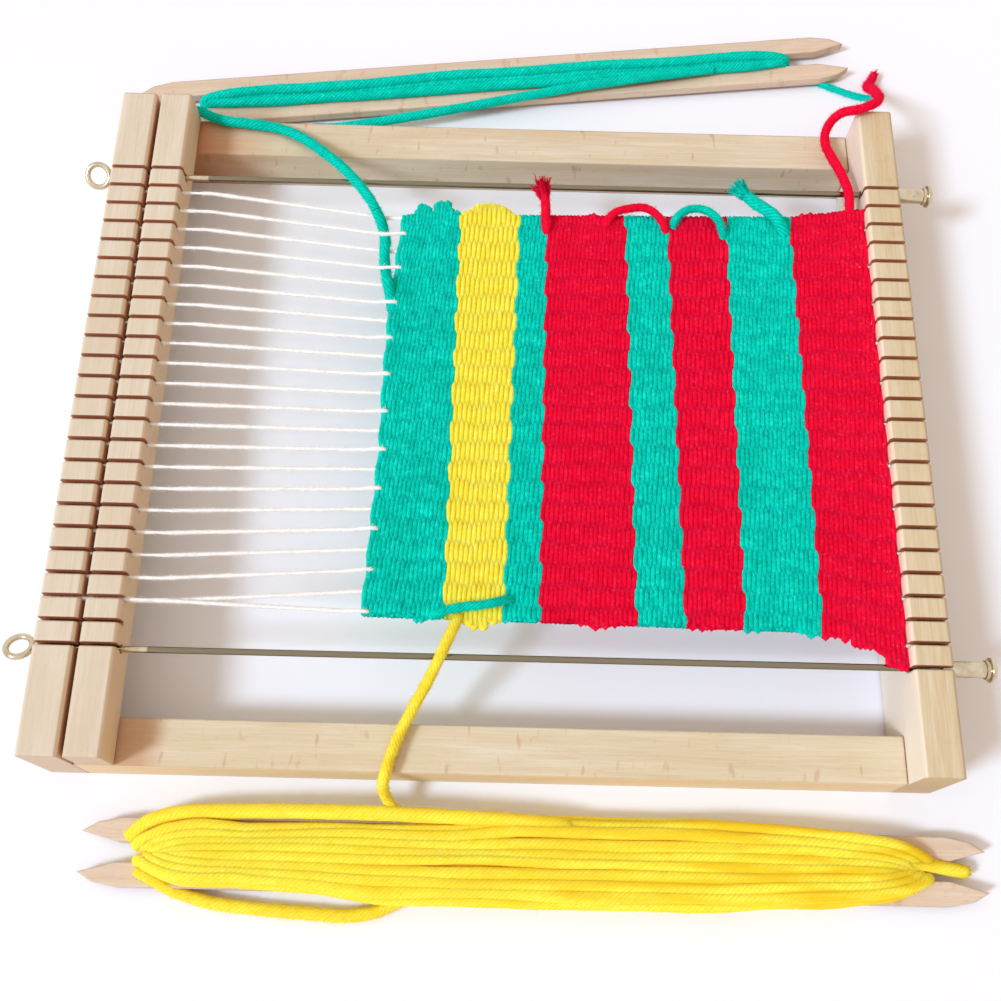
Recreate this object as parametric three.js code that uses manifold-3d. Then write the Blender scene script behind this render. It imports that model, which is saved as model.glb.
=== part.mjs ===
// A small tapestry loom: a beech frame with notched bars, a cotton warp, a striped cloth on it,
// and two stick shuttles wound with wool. Millimetres, +Z up.
// While the pieces are laid out, X = 0 is the outer bar's centre line, Y = 0 is the far kerf
// and Z = 0 is the table. The whole loom is moved to the origin at the end.
import * as THREE from "three";
import { mergeVertices } from "three/addons/utils/BufferGeometryUtils.js";
import Module from "manifold-3d";

const wasm = await Module();
wasm.setup();

const woodColour = 0xdcbf94;
const stickColour = 0xe0bf9c;
const steelColour = 0xc9c4ba;
const warpColour = 0xf0ebe2;
const greenColour = 0x00b39a;
const yellowColour = 0xf5e032;
const redColour = 0xdc0c35;

// Kerfs, the saw cuts that hold the warp
const kerfCount = 24;
const kerfPitch = 8;
const kerfWidth = 1.4;
const kerfDepth = 5.5;
const rightKerfShift = -1.1;

// Notched bars
const barHeight = 35.2;
const barWidth = 13.2;
const barSpacing = 284.4;
const farMargin = 34;
const nearMargin = 36.2;
const arris = 0.9;

// Rails between the bars, with two dowels at each corner
const railWidth = 15.6;
const railHeight = 19.2;
const jointGap = 0.25;
const dowelDiameter = 6;
const dowelLength = 28;
const dowelInBar = 8.5;
const dowelLowZ = 5.2;
const dowelHighZ = 13.8;
const glueGap = 0.3;

// Loose notched bar that lies on the rails and slides on the rods
const spacerWidth = 12;
const spacerGap = 1.7;
const spacerTravel = 10;
const seatGap = 0.3;

// Steel rods with a bent eye at the left and a headed barrel nut at the right
const rodDiameter = 2.6;
const rodDrop = 6.5;
const runningGap = 0.25;
const eyeDiameter = 10.6;
const eyeWire = 2.2;
const eyeNeck = 1.2;
const backEyeTilt = 35;
const frontEyeTilt = -24;
const barrelDiameter = 5.4;
const barrelLength = 15.8;
const barrelInBar = 4;
const barrelPocket = 11;
const headDiameter = 8.3;
const headThickness = 2.6;
const threadEngaged = 5;
const frontNutOut = 1.6;

// Warp thread and the cloth woven round it
const warpDiameter = 1;
const warpGap = 0.25;
const knotDiameter = 2.4;
const knotOut = 3.4;
const clothThickness = 3.8;
const clothGap = 0.3;
const clothFarLeft = 104.8;
const clothNearLeft = 98.4;
const stripeWave = 0.6;
const selvage = 1.9;
const farDrawIn = 9;
const nearDrawIn = -2;
const farDrawInRight = 5.6;
const nearDrawInRight = -3.8;

// The stripes from the left, with their shares of the cloth's width at the far and the near edge
const stripes = [
  { name: "green_band_1", far: 0.12, near: 0.15, colour: greenColour },
  { name: "yellow_band_1", far: 0.13, near: 0.11, colour: yellowColour },
  { name: "green_band_2", far: 0.059, near: 0.068, colour: greenColour },
  { name: "red_band_1", far: 0.17, near: 0.178, colour: redColour },
  { name: "green_band_3", far: 0.091, near: 0.09, colour: greenColour },
  { name: "red_band_2", far: 0.129, near: 0.11, colour: redColour },
  { name: "green_band_4", far: 0.138, near: 0.143, colour: greenColour },
  { name: "red_band_3", far: 0.163, near: 0.151, colour: redColour },
];

// Stick shuttles and the wool wound on them
const stickLength = 297;
const stickWidth = 22;
const stickThickness = 3.5;
const tipHalfGap = 6.4;
const tipTaper = 13;
const notchMouth = 12.5;
const notchDepth = 30;
const windDiameter = 2.6;
const windGap = 0.5;
const windFlat = 0.5;
const yellowLoops = 8;
const greenLoops = 4;
const yellowStickX = 156.9;
const yellowStickOut = 25.8;
const greenStickX = 138;
const greenStickOut = 35.1;
const greenStickTurn = 6.8;

// Wool yarn outside the cloth
const yarnDiameter = 4.2;
const weftDiameter = 3;

// Places that follow from the sizes
const nearKerfY = -(kerfCount - 1) * kerfPitch;
const farEndY = farMargin;
const nearEndY = nearKerfY - nearMargin;
const outerX = 0;
const rightX = barSpacing;
const spacerX = barWidth / 2 + spacerGap + spacerWidth / 2;
const kerfFloorZ = barHeight - kerfDepth;
const spacerBottom = railHeight + seatGap;
const rodZ = barHeight - rodDrop;
const warpZ = kerfFloorZ + warpGap + warpDiameter / 2;
const passCount = kerfCount - 2;
const drawInX = spacerX + spacerWidth / 2 + spacerTravel + 1;
const clothRight = rightX - barWidth / 2 - clothGap;
const eyeX = outerX - barWidth / 2 - eyeNeck - eyeDiameter / 2;
const windPitch = windDiameter + windGap;
const windLevel = stickThickness / 2 + seatGap + windDiameter / 2;
const stickZ = windLevel + windDiameter / 2 - windFlat;
const stickEnd = stickLength / 2;
const stickSide = stickWidth / 2;
const yellowStickY = nearEndY - yellowStickOut;
const greenStickY = farEndY + greenStickOut;

// Where the stripe of that number starts at the far and at the near edge
function stripeFarX(index) {
  const share = stripes.slice(0, index).reduce((sum, stripe) => sum + stripe.far, 0);
  return THREE.MathUtils.lerp(clothFarLeft, clothRight, share);
}

function stripeNearX(index) {
  const share = stripes.slice(0, index).reduce((sum, stripe) => sum + stripe.near, 0);
  return THREE.MathUtils.lerp(clothNearLeft, clothRight, share);
}

// Closed geometry to solid and back
function toSolid(geometry) {
  const bare = geometry.clone();
  bare.deleteAttribute("normal");
  bare.deleteAttribute("uv");
  const merged = mergeVertices(bare, 1e-4);
  const vertProperties = new Float32Array(merged.attributes.position.array);
  const triVerts = new Uint32Array(merged.index.array);
  return new wasm.Manifold(new wasm.Mesh({ numProp: 3, vertProperties, triVerts }));
}

function toGeometry(solid) {
  const mesh = solid.getMesh();
  const geometry = new THREE.BufferGeometry();
  geometry.setAttribute("position", new THREE.BufferAttribute(mesh.vertProperties, 3));
  geometry.setIndex(new THREE.BufferAttribute(mesh.triVerts, 1));
  geometry.computeVertexNormals();
  return geometry;
}

// A round bar along X from one end to the other
function roundBarX(diameter, fromX, toX, y, z, sides = 12) {
  const bar = new THREE.CylinderGeometry(diameter / 2, diameter / 2, toX - fromX, sides);
  bar.rotateZ(Math.PI / 2);
  bar.translate((fromX + toX) / 2, y, z);
  return toSolid(bar);
}

// A curve that goes straight from point to point, with a mitred turn at each
class Route extends THREE.Curve {
  constructor(points) {
    super();
    this.points = points;
  }

  getPoint(t) {
    const place = t * (this.points.length - 1);
    const index = Math.min(Math.floor(place + 1e-6), this.points.length - 2);
    return this.points[index].clone().lerp(this.points[index + 1], place - index);
  }

  getPointAt(t) {
    return this.getPoint(t);
  }

  getTangent(t) {
    const last = this.points.length - 1;
    const index = Math.round(t * last);
    const tangent = new THREE.Vector3();
    if (index > 0) {
      tangent.add(this.points[index].clone().sub(this.points[index - 1]).normalize());
    }
    if (index < last) {
      tangent.add(this.points[index + 1].clone().sub(this.points[index]).normalize());
    }
    return tangent.normalize();
  }

  getTangentAt(t) {
    return this.getTangent(t);
  }
}

function tube(points, diameter, sides) {
  const section = new THREE.Shape();
  for (let side = 0; side < sides; side += 1) {
    const angle = ((side + 0.5) / sides) * Math.PI * 2;
    const x = (Math.cos(angle) * diameter) / 2;
    const y = (Math.sin(angle) * diameter) / 2;
    if (side === 0) {
      section.moveTo(x, y);
    } else {
      section.lineTo(x, y);
    }
  }
  const options = { steps: points.length - 1, bevelEnabled: false, extrudePath: new Route(points) };
  return new THREE.ExtrudeGeometry(section, options);
}

function vectors(rows) {
  return rows.map(([x, y, z]) => new THREE.Vector3(x, y, z));
}

// A smooth yarn through points chosen by hand
function yarn(rows, diameter, steps, sides = 8) {
  const curve = new THREE.CatmullRomCurve3(vectors(rows), false, "centripetal");
  return tube(curve.getSpacedPoints(steps), diameter, sides);
}

const loom = new THREE.Group();

function addPiece(name, geometry, colour, roughness, metalness = 0, holder = loom) {
  const material = new THREE.MeshStandardMaterial({ color: colour, roughness, metalness });
  const mesh = new THREE.Mesh(geometry, material);
  mesh.name = name;
  holder.add(mesh);
  return mesh;
}

// Notched bar: a comb outline with rounded long edges, pierced for the two rods
function notchedBar(centreX, width, bottomZ, topZ, kerfShift) {
  const comb = new THREE.Shape();
  comb.moveTo(nearEndY, bottomZ);
  comb.lineTo(farEndY, bottomZ);
  comb.lineTo(farEndY, topZ);
  for (let kerf = 0; kerf < kerfCount; kerf += 1) {
    const y = kerfShift - kerf * kerfPitch;
    comb.lineTo(y + kerfWidth / 2, topZ);
    comb.lineTo(y + kerfWidth / 2, kerfFloorZ);
    comb.lineTo(y - kerfWidth / 2, kerfFloorZ);
    comb.lineTo(y - kerfWidth / 2, topZ);
  }
  comb.lineTo(nearEndY, topZ);
  const combBody = new THREE.ExtrudeGeometry(comb, { depth: width, bevelEnabled: false });
  combBody.rotateX(Math.PI / 2);
  combBody.rotateZ(Math.PI / 2);
  combBody.translate(centreX - width / 2, 0, 0);

  const left = centreX - width / 2;
  const right = centreX + width / 2;
  const section = new THREE.Shape();
  section.moveTo(left + arris, bottomZ);
  section.lineTo(right - arris, bottomZ);
  section.lineTo(right, bottomZ + arris);
  section.lineTo(right, topZ - arris);
  section.lineTo(right - arris, topZ);
  section.lineTo(left + arris, topZ);
  section.lineTo(left, topZ - arris);
  section.lineTo(left, bottomZ + arris);
  const blank = new THREE.ExtrudeGeometry(section, { depth: farEndY - nearEndY, bevelEnabled: false });
  blank.rotateX(Math.PI / 2);
  blank.translate(0, farEndY, 0);

  let bar = toSolid(combBody).intersect(toSolid(blank));
  for (const y of [0, nearKerfY]) {
    bar = bar.subtract(roundBarX(rodDiameter + 2 * runningGap, left - 1, right + 1, y, rodZ));
  }
  return bar;
}

const railPlaces = [["back", farEndY - railWidth / 2], ["front", nearEndY + railWidth / 2]];

function dowelPlaces() {
  const places = [];
  const sides = [["left", barWidth / 2, 1], ["right", rightX - barWidth / 2, -1]];
  const levels = [["low", dowelLowZ], ["high", dowelHighZ]];
  for (const [end, y] of railPlaces) {
    for (const [side, faceX, inward] of sides) {
      for (const [level, z] of levels) {
        places.push({ name: `${end}_${side}_dowel_${level}`, faceX, inward, y, z });
      }
    }
  }
  return places;
}

function dowelSpan({ faceX, inward }, slack) {
  const inBar = faceX - inward * (dowelInBar + slack);
  const inRail = faceX + inward * (dowelLength - dowelInBar + slack);
  return [Math.min(inBar, inRail), Math.max(inBar, inRail)];
}

function dowelHole(place) {
  const [fromX, toX] = dowelSpan(place, glueGap);
  return roundBarX(dowelDiameter + 2 * glueGap, fromX, toX, place.y, place.z, 10);
}

function drilled(solid, test) {
  let result = solid;
  for (const place of dowelPlaces().filter(test)) {
    result = result.subtract(dowelHole(place));
  }
  return result;
}

function addFrame() {
  const outerBar = notchedBar(outerX, barWidth, 0, barHeight, 0);
  addPiece("outer_bar", toGeometry(drilled(outerBar, (p) => p.inward > 0)), woodColour, 0.6);

  let rightBar = notchedBar(rightX, barWidth, 0, barHeight, rightKerfShift);
  const rightFace = rightX + barWidth / 2;
  const pocketDiameter = barrelDiameter + 2 * runningGap;
  for (const y of [0, nearKerfY]) {
    const pocket = roundBarX(pocketDiameter, rightFace - barrelPocket, rightFace + 1, y, rodZ, 16);
    rightBar = rightBar.subtract(pocket);
  }
  addPiece("right_bar", toGeometry(drilled(rightBar, (p) => p.inward < 0)), woodColour, 0.6);

  const railFrom = barWidth / 2 + jointGap;
  const railTo = rightX - barWidth / 2 - jointGap;
  for (const [end, y] of railPlaces) {
    const rail = new THREE.BoxGeometry(railTo - railFrom, railWidth, railHeight);
    rail.translate((railFrom + railTo) / 2, y, railHeight / 2);
    addPiece(`${end}_rail`, toGeometry(drilled(toSolid(rail), (p) => p.y === y)), woodColour, 0.6);
  }

  for (const place of dowelPlaces()) {
    const [fromX, toX] = dowelSpan(place, 0);
    const dowel = roundBarX(dowelDiameter, fromX, toX, place.y, place.z, 10);
    addPiece(place.name, toGeometry(dowel), woodColour, 0.7);
  }

  const spacer = notchedBar(spacerX, spacerWidth, spacerBottom, barHeight, 0);
  addPiece("spacer_bar", toGeometry(spacer), woodColour, 0.6);
}

// Rod with its eye, turned about its own axis by tilt, and the barrel nut on its right end
function addRod(end, y, tilt, nutOut) {
  const barrelLeft = rightX + barWidth / 2 - barrelInBar + nutOut;
  const headLeft = barrelLeft + barrelLength;
  const ringRadius = (eyeDiameter - eyeWire) / 2;
  const ring = new THREE.TorusGeometry(ringRadius, eyeWire / 2, 8, 20);
  ring.rotateX(THREE.MathUtils.degToRad(tilt));
  ring.translate(eyeX, y, rodZ);
  const shank = roundBarX(rodDiameter, eyeX + ringRadius, barrelLeft + threadEngaged, y, rodZ);
  addPiece(`${end}_rod`, toGeometry(shank.add(toSolid(ring))), steelColour, 0.3, 1);

  const bore = rodDiameter / 2 + runningGap;
  const profile = [
    [0, headLeft - 1],
    [bore, headLeft - 1],
    [bore, barrelLeft],
    [barrelDiameter / 2, barrelLeft],
    [barrelDiameter / 2, headLeft],
    [headDiameter / 2, headLeft],
    [headDiameter / 2, headLeft + headThickness * 0.5],
    [headDiameter * 0.36, headLeft + headThickness * 0.9],
    [0, headLeft + headThickness],
  ].map(([radius, x]) => new THREE.Vector2(radius, x));
  const nut = new THREE.LatheGeometry(profile, 16);
  nut.rotateZ(-Math.PI / 2);
  nut.translate(0, y, rodZ);
  addPiece(`${end}_nut`, toGeometry(toSolid(nut)), steelColour, 0.25, 1);
}

// Where a warp pass lies: straight in its left kerf as far as the spacer bar reaches,
// drawn in by the cloth, then out again to its right kerf. Passes count from 0 at the far side.
function warpCourse(pass) {
  const share = pass / (passCount - 1);
  const leftY = -Math.min(pass + 1, kerfCount - 3) * kerfPitch;
  const rightY = rightKerfShift - (pass + 1) * kerfPitch;
  const farY = -kerfPitch;
  const nearY = nearKerfY + 2 * kerfPitch;
  const clothLeftY = THREE.MathUtils.lerp(farY - farDrawIn, nearY + nearDrawIn, share);
  const clothRightY = THREE.MathUtils.lerp(farY - farDrawInRight, nearY + nearDrawInRight, share);
  const inLeft = (clothFarLeft + clothNearLeft) / 2 - 2;
  const inRight = stripeNearX(stripes.length - 1);
  return [
    [drawInX, leftY],
    [inLeft, clothLeftY],
    [inRight, clothRightY],
    [rightX - barWidth / 2 - warpGap, rightY],
  ];
}

function courseY(pass, x) {
  const course = warpCourse(pass);
  let index = 0;
  while (index < course.length - 2 && x > course[index + 1][0]) {
    index += 1;
  }
  const [fromX, fromY] = course[index];
  const [toX, toY] = course[index + 1];
  return fromY + ((toY - fromY) * (x - fromX)) / (toX - fromX);
}

// The warp is one thread that goes to and fro, round the outside of the teeth at each end
function warpPoints() {
  const rows = [];
  const off = warpGap + warpDiameter / 2;
  const leftOut = outerX - barWidth / 2 - off;
  const rightOut = rightX + barWidth / 2 + off;
  const turn = 0.5;
  for (let pass = 0; pass < passCount; pass += 1) {
    const course = warpCourse(pass).map(([x, y]) => [x, y, warpZ]);
    const leftY = course[0][1];
    const rightY = course[course.length - 1][1];
    const goesRight = pass % 2 === 0;
    const lastPass = pass === passCount - 1;
    const leftZ = lastPass ? warpZ + warpDiameter + warpGap : warpZ;
    course[0][2] = leftZ;
    let leftEnd = [[leftOut + turn, leftY, leftZ]];
    if (pass === 0 || lastPass) {
      leftEnd = [[outerX - barWidth / 2 - knotOut, leftY, leftZ]];
    } else {
      leftEnd.unshift([leftOut, leftY + (goesRight ? turn : -turn), leftZ]);
    }
    const rightEnd = [
      [rightOut - turn, rightY, warpZ],
      [rightOut, rightY + (goesRight ? -turn : turn), warpZ],
    ];
    const whole = [...leftEnd, ...course, ...rightEnd];
    rows.push(...(goesRight ? whole : whole.reverse()));
  }
  return vectors(rows);
}

function addWarp() {
  const points = warpPoints();
  let warp = toSolid(tube(points, warpDiameter, 6));
  for (const end of [points[0], points[points.length - 1]]) {
    const knot = new THREE.IcosahedronGeometry(knotDiameter / 2, 1);
    knot.translate(end.x, end.y, end.z);
    warp = warp.add(toSolid(knot));
  }
  addPiece("warp_thread", toGeometry(warp), warpColour, 0.95);
}

// Stripe edge number index, from the left, as a wavy line from the far to the near selvage
function stripeEdge(index, side) {
  const offset = (side * clothGap) / 2;
  const farX = stripeFarX(index);
  const nearX = stripeNearX(index);
  const last = index === stripes.length;
  const first = index === 0;
  const line = [];
  for (let row = 0; row <= passCount; row += 1) {
    const share = row / passCount;
    const wave = last ? 0 : stripeWave * (row % 2 === 0 ? 1 : -1);
    const shift = first || last ? 0 : offset;
    const x = (last ? clothRight : THREE.MathUtils.lerp(farX, nearX, share) + wave) + shift;
    const farY = courseY(0, x) + selvage;
    const nearY = courseY(passCount - 1, x) - selvage;
    line.push(new THREE.Vector2(x, THREE.MathUtils.lerp(farY, nearY, share)));
  }
  return line;
}

function addCloth() {
  const holeDiameter = (warpDiameter + 2 * warpGap) * Math.SQRT2;
  const channels = [];
  for (let pass = 0; pass < passCount; pass += 1) {
    const course = warpCourse(pass).slice(1);
    const startX = course[0][0] - 10;
    const endY = course[course.length - 1][1];
    const points = [[startX, courseY(pass, startX)], ...course, [rightX, endY]];
    channels.push(toSolid(tube(vectors(points.map(([x, y]) => [x, y, warpZ])), holeDiameter, 4)));
  }
  const allChannels = channels.reduce((whole, channel) => whole.add(channel));
  stripes.forEach((stripe, index) => {
    const left = stripeEdge(index, 1);
    const right = stripeEdge(index + 1, -1);
    const outline = new THREE.Shape([...left, ...right.reverse()]);
    const slab = new THREE.ExtrudeGeometry(outline, { depth: clothThickness, bevelEnabled: false });
    slab.translate(0, 0, warpZ - clothThickness / 2);
    addPiece(stripe.name, toGeometry(toSolid(slab).subtract(allChannels)), stripe.colour, 0.95);
  });
}

// Flat stick with a forked notch at each end
function stickShape() {
  const notchHalf = windPitch / 2 + windDiameter / 2 + seatGap;
  const floor = stickEnd - notchDepth;
  const corner = [
    [stickEnd - tipTaper, stickSide],
    [stickEnd - tipTaper * 0.4, stickSide * 0.86],
    [stickEnd, tipHalfGap],
    [stickEnd - notchMouth, notchHalf],
  ];
  for (let step = 0; step <= 6; step += 1) {
    const angle = (step / 6) * (Math.PI / 2);
    corner.push([floor + notchHalf * (1 - Math.sin(angle)), notchHalf * Math.cos(angle)]);
  }
  const rightSide = [...corner, ...corner.slice(0, -1).reverse().map(([x, y]) => [x, -y])];
  const whole = [...rightSide, ...rightSide.map(([x, y]) => [-x, -y])];
  return new THREE.Shape(whole.map(([x, y]) => new THREE.Vector2(x, y)));
}

// The wool runs along the stick, turns in over the prongs and dives through the notch.
// The middle loops lie deepest in the notch and the outer ones nest outside them.
function windingPoints(loops, lead) {
  const column = windPitch / 2;
  const notchHalf = column + windDiameter / 2 + seatGap;
  const deepest = stickEnd - notchDepth + notchHalf;
  const bend = windDiameter * 0.35;
  const pass = (turn, end) => {
    const y = (turn - (loops - 1) / 2) * windPitch;
    const side = Math.sign(y);
    const rank = Math.floor(Math.abs(y) / windPitch);
    const x = deepest + rank * windPitch * Math.SQRT2;
    const across = Math.abs(y) - column;
    const inward = rank === 0 ? 0 : bend;
    const half = [
      [x - Math.max(across, windDiameter), y, windLevel],
      [x - bend, side * (column + inward), windLevel],
      [x - bend * 0.2, side * (column + inward * 0.2), windLevel - bend * 0.35],
      [x, side * column, windLevel - bend],
    ];
    const down = [...half, ...half.map(([px, py, pz]) => [px, py, -pz]).reverse()];
    return down.map(([px, py, pz]) => [end * px, py, pz]);
  };
  const rows = [];
  for (let turn = 0; turn < loops; turn += 1) {
    if (turn > 0) {
      rows.push(...pass(turn, -1).reverse());
    }
    rows.push(...pass(turn, 1));
  }
  const [, firstY] = rows[0];
  rows.unshift(...lead, [-deepest * 0.8, firstY, windLevel]);
  const [, lastY] = rows[rows.length - 1];
  rows.push([0, lastY + windPitch / 2, -windLevel]);
  return vectors(rows);
}

// The green wool leaves its winding over the near prong, in the stick's own frame
const greenLead = [
  [27.5 - stickEnd, -3 - stickSide, windLevel],
  [34.5 - stickEnd, 1.2 - stickSide, windLevel],
  [42.5 - stickEnd, 5.1 - stickSide, windLevel],
];

// Least distance between two turns of a winding, measured on points along it
function leastGap(points, diameter) {
  const samples = [];
  let along = 0;
  for (let index = 1; index < points.length; index += 1) {
    const length = points[index].distanceTo(points[index - 1]);
    const count = Math.max(1, Math.round(length / 1.5));
    for (let step = 0; step < count; step += 1) {
      const place = points[index - 1].clone().lerp(points[index], step / count);
      samples.push([place, along + (length * step) / count]);
    }
    along += length;
  }
  let least = Infinity;
  for (let first = 0; first < samples.length; first += 1) {
    for (let second = first + 1; second < samples.length; second += 1) {
      if (samples[second][1] - samples[first][1] > 4 * diameter) {
        least = Math.min(least, samples[first][0].distanceTo(samples[second][0]));
      }
    }
  }
  return least - diameter;
}

function addShuttle(name, loops, lead, colour, x, y, turn) {
  const holder = new THREE.Group();
  holder.position.set(x, y, stickZ);
  holder.rotation.z = THREE.MathUtils.degToRad(turn);
  loom.add(holder);
  const stick = new THREE.ExtrudeGeometry(stickShape(), { depth: stickThickness, bevelEnabled: false });
  stick.translate(0, 0, -stickThickness / 2);
  addPiece(`${name}_shuttle`, toGeometry(toSolid(stick)), stickColour, 0.65, 0, holder);

  const points = windingPoints(loops, lead);
  console.log(`${name} winding: ${loops} loops, least gap ${leastGap(points, windDiameter).toFixed(2)} mm`);
  const below = new THREE.BoxGeometry(stickLength, stickWidth * 2, stickWidth);
  below.translate(0, 0, -stickZ - stickWidth / 2);
  const winding = toSolid(tube(points, windDiameter, 6)).subtract(toSolid(below));
  addPiece(`${name}_winding`, toGeometry(winding), colour, 0.95, 0, holder);
  return holder;
}

// Heights of a yarn that lies on the table, a rail, a rod or a bar
const onTable = yarnDiameter / 2 + seatGap;
const overRail = railHeight + yarnDiameter / 2 + seatGap;
const overRod = rodZ + rodDiameter / 2 + yarnDiameter / 2 + seatGap;
const overBar = barHeight + yarnDiameter / 2 + seatGap;
const woundTop = stickZ + windLevel;
const yellowWoundSide = ((yellowLoops - 1) / 2) * windPitch + windDiameter / 2;

// From the green shuttle round the loose bar's end, over the back rail and rod to the warp
function greenWorkingRoute(holder) {
  const lead = new THREE.Vector3(...greenLead[0]);
  const start = holder.localToWorld(lead);
  return [
    [start.x - 0.6, start.y - 0.5, woundTop],
    [start.x - 5, farEndY + 4.6, woundTop + 1.5],
    [spacerX - 2.5, farEndY + 3.6, railHeight - 6],
    [spacerX - 2.5, farEndY + 3.2, railHeight - 1.6],
    [spacerX + 0.5, farEndY + 3, overRail - 0.2],
    [spacerX + 5.7, farEndY + 2.9, overRail + 1.7],
    [spacerX + 13.7, farEndY + 2.9, overRail + 1.9],
    [spacerX + 22.7, farEndY + 2.2, overRail + 1.2],
    [spacerX + 31.7, farEndY - 1.2, overRail + 1],
    [clothFarLeft - 48.8, farEndY - 7.5, overRail + 1.2],
    [clothFarLeft - 38.8, farEndY - 16, overRail + 3],
    [clothFarLeft - 29.8, 8.5, overRod - 3],
    [clothFarLeft - 23.3, 0, overRod + 0.6],
    [clothFarLeft - 18.8, -7, overRod + 1],
    [clothFarLeft - 16, 3 - 2 * kerfPitch, overRod + 0.8],
  ];
}

// From the cloth's near edge over the front rod and rail to the yellow shuttle
const yellowWorkingRoute = [
  [clothNearLeft + 31, nearKerfY + 10.8, warpZ + 0.85],
  [clothNearLeft + 29.4, nearKerfY + 6.5, overRod - 0.1],
  [clothNearLeft + 26.8, nearKerfY, overRod + 0.5],
  [clothNearLeft + 23.2, nearKerfY - 7.5, overRod - 2],
  [clothNearLeft + 18.2, nearEndY + 20.2, overRail + 3.8],
  [clothNearLeft + 14.2, nearEndY + 12.7, overRail + 1],
  [clothNearLeft + 11.6, nearEndY + 5.7, overRail + 0.9],
  [clothNearLeft + 10, nearEndY - 0.1, overRail + 0.7],
  [clothNearLeft + 9.4, nearEndY - 3.4, overRail - 2],
  [clothNearLeft + 9.6, nearEndY - 4.2, overRail - 7.1],
  [clothNearLeft + 10.6, nearEndY - 6.2, woundTop + 2.5],
  [clothNearLeft + 12.4, yellowStickY + yellowWoundSide + 3.85, woundTop + 0.5],
  [clothNearLeft + 13.8, yellowStickY + yellowWoundSide + 0.95, woundTop + 0.1],
];

// From the cloth's far right corner over the rod and the rail, across the bar's end to the table
const redTailRoute = [
  [rightX - 10.9, 0.8 - kerfPitch, warpZ + 0.95],
  [rightX - 11.1, 4.5 - kerfPitch, overRod],
  [rightX - 11.6, 1.5, overRod + 0.5],
  [rightX - 12.4, 8, overRod - 2.2],
  [rightX - 13.6, farEndY - 17.5, overRail + 3.4],
  [rightX - 15.4, farEndY - 9, overRail + 0.9],
  [rightX - 15.8, farEndY - 2.5, overRail + 0.9],
  [rightX - 14, farEndY + 2.2, overRail + 3.6],
  [rightX - 11, farEndY + 3.4, overBar - 6.6],
  [rightX - 8.2, farEndY + 2, overBar - 0.6],
  [rightX - 4.4, farEndY + 0.2, overBar + 0.6],
  [rightX + 1.1, farEndY - 0.1, overBar + 0.7],
  [rightX + 5.4, farEndY + 2.4, overBar - 0.5],
  [rightX + 7.8, farEndY + 8, barHeight * 0.84],
  [rightX + 8.8, farEndY + 14, barHeight * 0.54],
  [rightX + 9.4, farEndY + 20, barHeight * 0.284],
  [rightX + 10.4, farEndY + 26, onTable + 2.2],
  [rightX + 11.6, farEndY + 32, onTable + 0.4],
  [rightX + 13, farEndY + 39, onTable],
  [rightX + 13.8, farEndY + 45, onTable],
];

// Beside the shuttles on the table, each in its stick's own frame
const greenTailRoute = [
  [stickEnd - 30.3, -2.5 - stickSide, onTable - stickZ],
  [stickEnd - 22.3, -2.9 - stickSide, onTable - stickZ],
  [stickEnd - 13.3, -3.6 - stickSide, onTable - stickZ],
  [stickEnd - 5.4, -5.3 - stickSide, onTable - stickZ],
  [stickEnd + 2.3, -8.1 - stickSide, onTable - stickZ],
];
const yellowLooseRoute = [
  [25.6 - stickEnd, -2.45 - stickSide, 0],
  [33.6 - stickEnd, -3.9 - stickSide, -0.6],
  [43.6 - stickEnd, -5.2 - stickSide, onTable - stickZ + 0.2],
  [57.6 - stickEnd, -6.4 - stickSide, onTable - stickZ],
  [73.6 - stickEnd, -7 - stickSide, onTable - stickZ],
  [88.6 - stickEnd, -6.2 - stickSide, onTable - stickZ + 0.2],
  [97.6 - stickEnd, -yellowWoundSide - 3.6, 0.3],
  [103.6 - stickEnd, -yellowWoundSide - 2.15, windLevel - 0.9],
];

// Where the green weft crosses the first warp passes, left of the cloth's far corner
const greenWeftIn = [13.8, 9.6, 7.8, 7.2, 6, 4.6];

function addYarns(yellowHolder, greenHolder) {
  const greenRoute = greenWorkingRoute(greenHolder);
  addPiece("green_working_yarn", yarn(greenRoute, yarnDiameter, 22), greenColour, 0.95);
  addPiece("yellow_working_yarn", yarn(yellowWorkingRoute, yarnDiameter, 20), yellowColour, 0.95);
  addPiece("red_tail", yarn(redTailRoute, yarnDiameter, 30), redColour, 0.95);
  const greenTail = yarn(greenTailRoute, yarnDiameter, 5);
  addPiece("green_tail", greenTail, greenColour, 0.95, 0, greenHolder);
  const yellowLoose = yarn(yellowLooseRoute, yarnDiameter, 10);
  addPiece("yellow_loose_end", yellowLoose, yellowColour, 0.95, 0, yellowHolder);

  // The green weft goes over and under the warp on its way into the cloth
  const rise = warpDiameter / 2 + warpGap + weftDiameter / 2;
  const weft = [];
  greenWeftIn.forEach((inset, pass) => {
    const x = clothFarLeft - inset;
    const z = warpZ + (pass % 2 === 0 ? rise : -rise);
    const y = courseY(pass, x);
    weft.push([x - 0.3, y + weftDiameter / 2, z]);
    weft.push([x, y - weftDiameter / 2, z]);
  });
  addPiece("green_weft_strand", tube(vectors(weft), weftDiameter, 8), greenColour, 0.95);
}

// A short end on top of the cloth: distances right of a stripe's edge and beyond the cloth's edge
function weftEnd(name, colour, fromX, edge, steps) {
  const onCloth = warpZ + clothThickness / 2 + weftDiameter / 2 + seatGap;
  const onRod = rodZ + rodDiameter / 2 + weftDiameter / 2 + seatGap;
  const top = Math.max(onCloth, onRod);
  const rows = steps.map(([right, beyond]) => [fromX + right, edge(fromX + right) + beyond, top]);
  addPiece(name, yarn(rows, weftDiameter, 5), colour, 0.95);
}

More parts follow.
